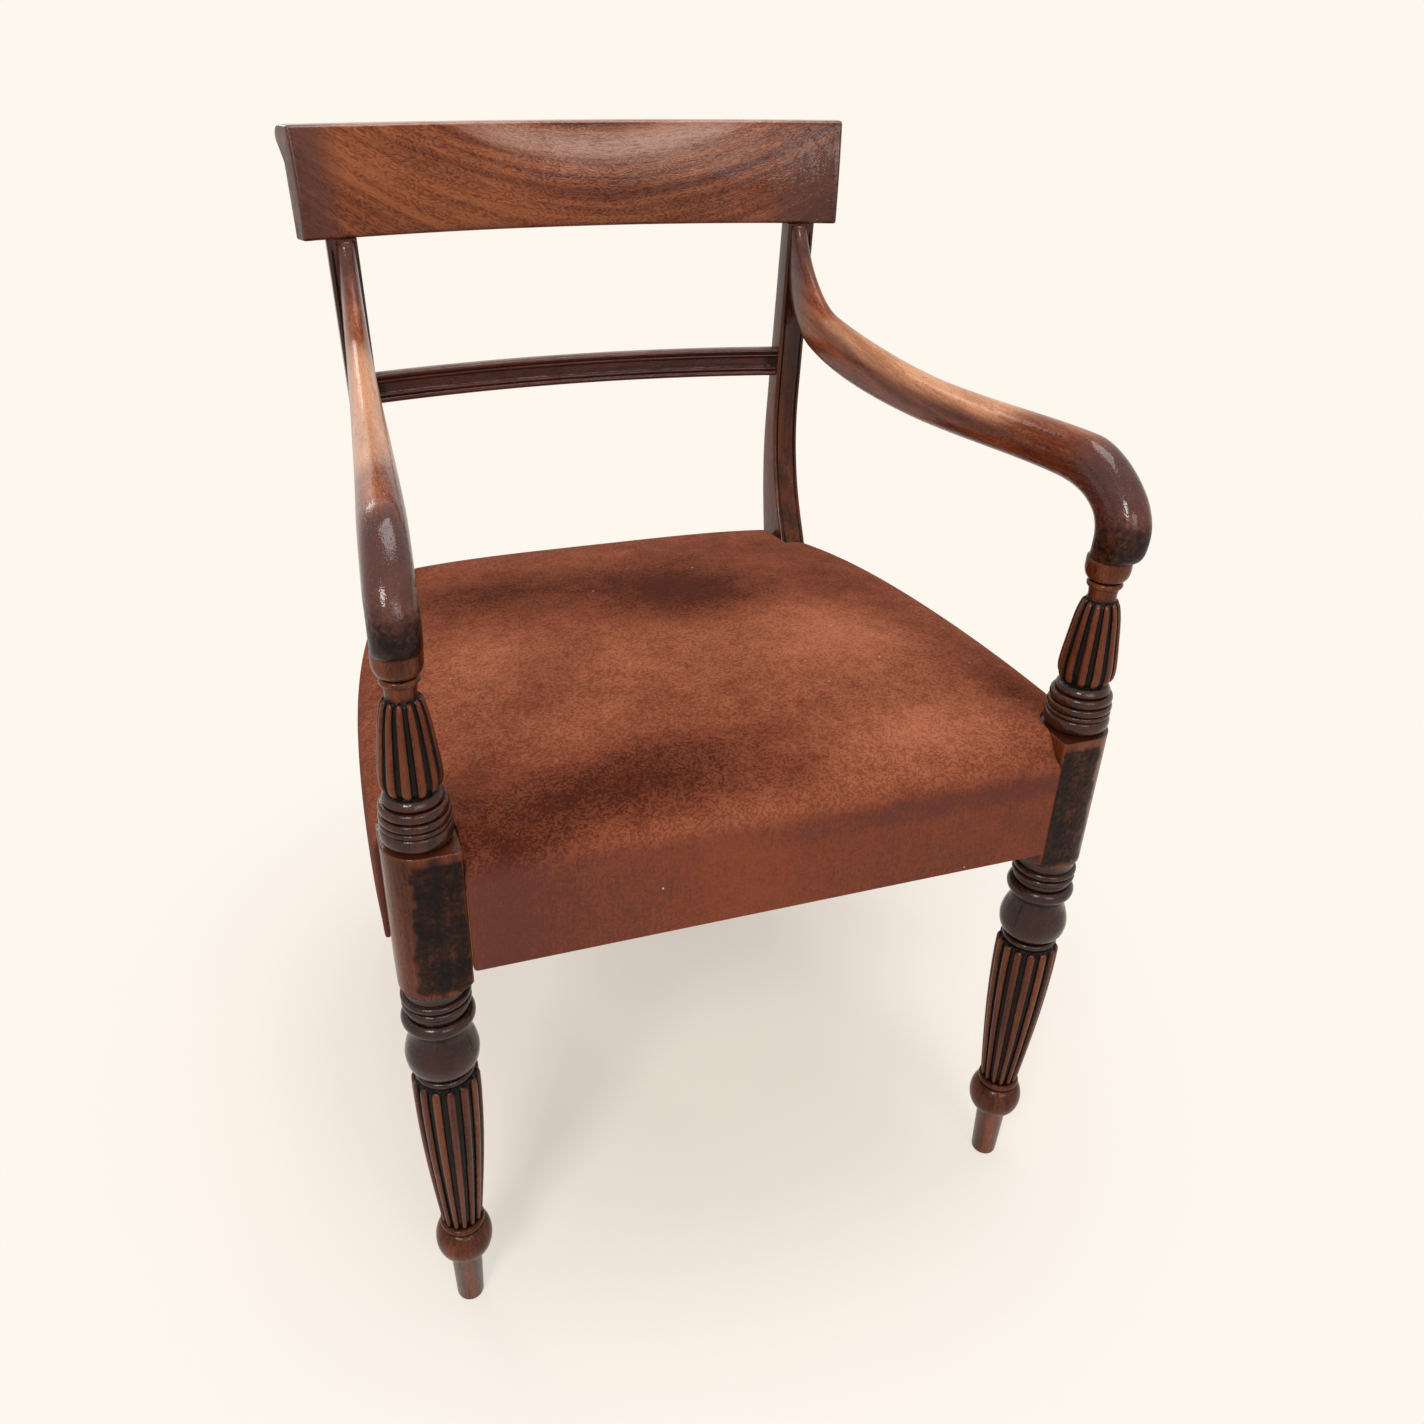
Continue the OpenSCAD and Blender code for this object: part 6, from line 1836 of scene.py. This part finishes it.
@dataclass
class HiddenFrame:
    """The rails, blocks, webbing and fixings that keep their CAD shapes and get their finishes here."""

    nodes: dict[str, bpy.types.Object]
    finishes: Finishes

    def dress(self) -> None:
        """Gives each kept CAD node its finish."""
        f = self.finishes
        dressed = (
            (f.rail_x, "seat_rail_front", "seat_rail_back", "corner_block_front_left",
             "corner_block_front_right", "corner_block_back_left", "corner_block_back_right"),
            (f.rail_y, "seat_rail_left", "seat_rail_right"),
            (f.iron, "corner_block_screws", "arm_screws"),
            (f.plug, "arm_screw_plugs"),
            (f.webbing, "webbing_front_to_back", "webbing_side_to_side"),
            (f.hessian, "hessian"),
        )
        for finish, *names in dressed:
            for name in names:
                for slot in self.nodes[name].material_slots:
                    slot.material = finish
            log.info("%s: dressed in %s", ", ".join(names), finish.name)


@dataclass
class Studio:
    """The camera, the soft lamps, the pale floor and the pale surroundings."""

    place: Place
    # The picture's width, the camera's focal length and its middle column, in the picture's pixels.
    picture: float = 1424.0
    focal: float = 1154.1
    middle_column: float = 660.0
    sensor: float = 36.0
    # Where the camera stands in the chair's millimetres, and its turn, its dip and its tilt in degrees.
    eye: tuple[float, float, float] = (-288.8, -626.9, 917.0)
    turns: tuple[float, float, float] = (18.056, 29.814, 0.564)
    # Each lamp's name, its place and its width in metres, and its power in watts.
    lamps: tuple = (
        ("window_lamp", (-1.5, -2.0, 2.3), 0.8, 44.0),
        ("front_lamp", (0.3, -2.5, 1.55), 1.1, 17.0),
        ("ceiling_lamp", (0.3, 0.2, 2.9), 1.3, 31.0),
        ("back_lamp", (-0.9, 2.3, 1.9), 0.9, 12.0),
    )
    lit: tuple[float, float, float] = (0.0, 0.0, 0.42)
    lamp_colour: tuple[float, float, float] = (1.0, 0.985, 0.965)
    world_light: float = 0.28
    backdrop: Colour = tint(254, 247, 238)
    floor_colour: Colour = tint(250, 240, 230)
    floor_reach: float = 12.0
    # How much of the floor's own shade is seen near the chair, and where that fades out, in metres.
    floor_share: float = 0.62
    fade: tuple[float, float] = (0.2, 0.66)

    def camera(self) -> None:
        """Sets the camera where the photograph was taken from."""
        data = bpy.data.cameras.new("view")
        data.sensor_fit = "HORIZONTAL"
        data.sensor_width = self.sensor
        data.lens = self.focal * self.sensor / self.picture
        data.shift_x = (self.picture / 2 - self.middle_column) / self.picture
        data.clip_end = 100.0
        yaw, pitch, roll = (math.radians(a) for a in self.turns)
        ahead = Vector((math.sin(yaw) * math.cos(pitch), math.cos(yaw) * math.cos(pitch), -math.sin(pitch)))
        right = Vector((math.cos(yaw), -math.sin(yaw), 0.0))
        up = right.cross(ahead)
        turned_right = right * math.cos(roll) + up * math.sin(roll)
        turned_up = up * math.cos(roll) - right * math.sin(roll)
        matrix = Matrix((turned_right, turned_up, -ahead)).transposed().to_4x4()
        matrix.translation = Vector(self.place.metres(np.array(self.eye)))
        made = add_object("view", data)
        made.matrix_world = matrix
        bpy.context.scene.camera = made

    def light(self) -> None:
        """Hangs the lamps."""
        for name, at, size, power in self.lamps:
            data = bpy.data.lights.new(name, "AREA")
            data.shape = "SQUARE"
            data.size = size
            data.energy = power
            data.color = self.lamp_colour
            made = add_object(name, data)
            made.location = at
            made.rotation_euler = (Vector(self.lit) - Vector(at)).to_track_quat("-Z", "Y").to_euler()

    def shown(self, tree: Tree) -> Socket:
        """Returns 1 for the rays that see the surroundings as they are written."""
        path = tree.node("ShaderNodeLightPath").outputs
        return tree.most(tree.most(path["Is Camera Ray"], path["Is Glossy Ray"]), path["Is Transmission Ray"])

    def surroundings(self) -> None:
        """Makes the world: pale where it is seen, and a plain soft light elsewhere."""
        world = bpy.data.worlds.new("pale_room")
        bpy.context.scene.world = world
        world.use_nodes = True
        tree = Tree(world.node_tree)
        strength = tree.span(self.shown(tree), 0.0, 1.0, self.world_light, 1.0)
        tree.fill(world.node_tree.nodes["Background"], {"Color": self.backdrop, "Strength": strength})

    def floor(self) -> None:
        """Lays the pale floor, which keeps the chair's shadow."""
        material, tree, surface = new_material("pale_floor")
        tree.fill(surface, {"Base Color": self.floor_colour, "Roughness": 0.9, "Specular IOR Level": 0.1})
        plain = tree.node("ShaderNodeEmission", {"Color": self.backdrop, "Strength": 1.0}).outputs[0]
        far = tree.vector("LENGTH", tree.vector("SUBTRACT", tree.place(), (0.0, 0.05, 0.0)))
        share = tree.times(self.shown(tree), tree.span(far, *self.fade, 1 - self.floor_share, 1.0))
        both = tree.node("ShaderNodeMixShader", {0: share, 1: surface.outputs[0], 2: plain}).outputs[0]
        tree.fill(material.node_tree.nodes["Material Output"], {"Surface": both})
        mesh = bpy.data.meshes.new("floor")
        far_out = self.floor_reach
        corners = [(x * far_out, y * far_out, 0) for x, y in ((-1, -1), (1, -1), (1, 1), (-1, 1))]
        mesh.from_pydata(corners, [], [(0, 1, 2, 3)])
        mesh.materials.append(material)
        add_object("floor", mesh)

    def build(self) -> None:
        """Sets up the whole studio."""
        self.camera()
        self.light()
        self.surroundings()
        self.floor()
        bpy.context.scene.view_settings.view_transform = "Standard"


def main() -> None:
    """Builds every piece of the chair and the studio round it."""
    logging.basicConfig(level=logging.INFO, format="%(name)s: %(message)s")
    place = Place.from_frame()
    finishes = Finishes.make()
    Studio(place).build()
    reeding = Reeding()
    for side in Side:
        FrontLeg(side, place, finishes.leg).build(reeding)
        Arm(side, place, finishes.arm).build()
        BackPost(side, place, finishes.leg).build()
    BackRails(place, finishes).build()
    seat = StuffedSeat(place, finishes.velvet)
    seat.build()
    Tacks(place, finishes.iron, seat).build()
    HiddenFrame(frame["nodes"], finishes).dress()


if __name__ == "__main__":
    main()
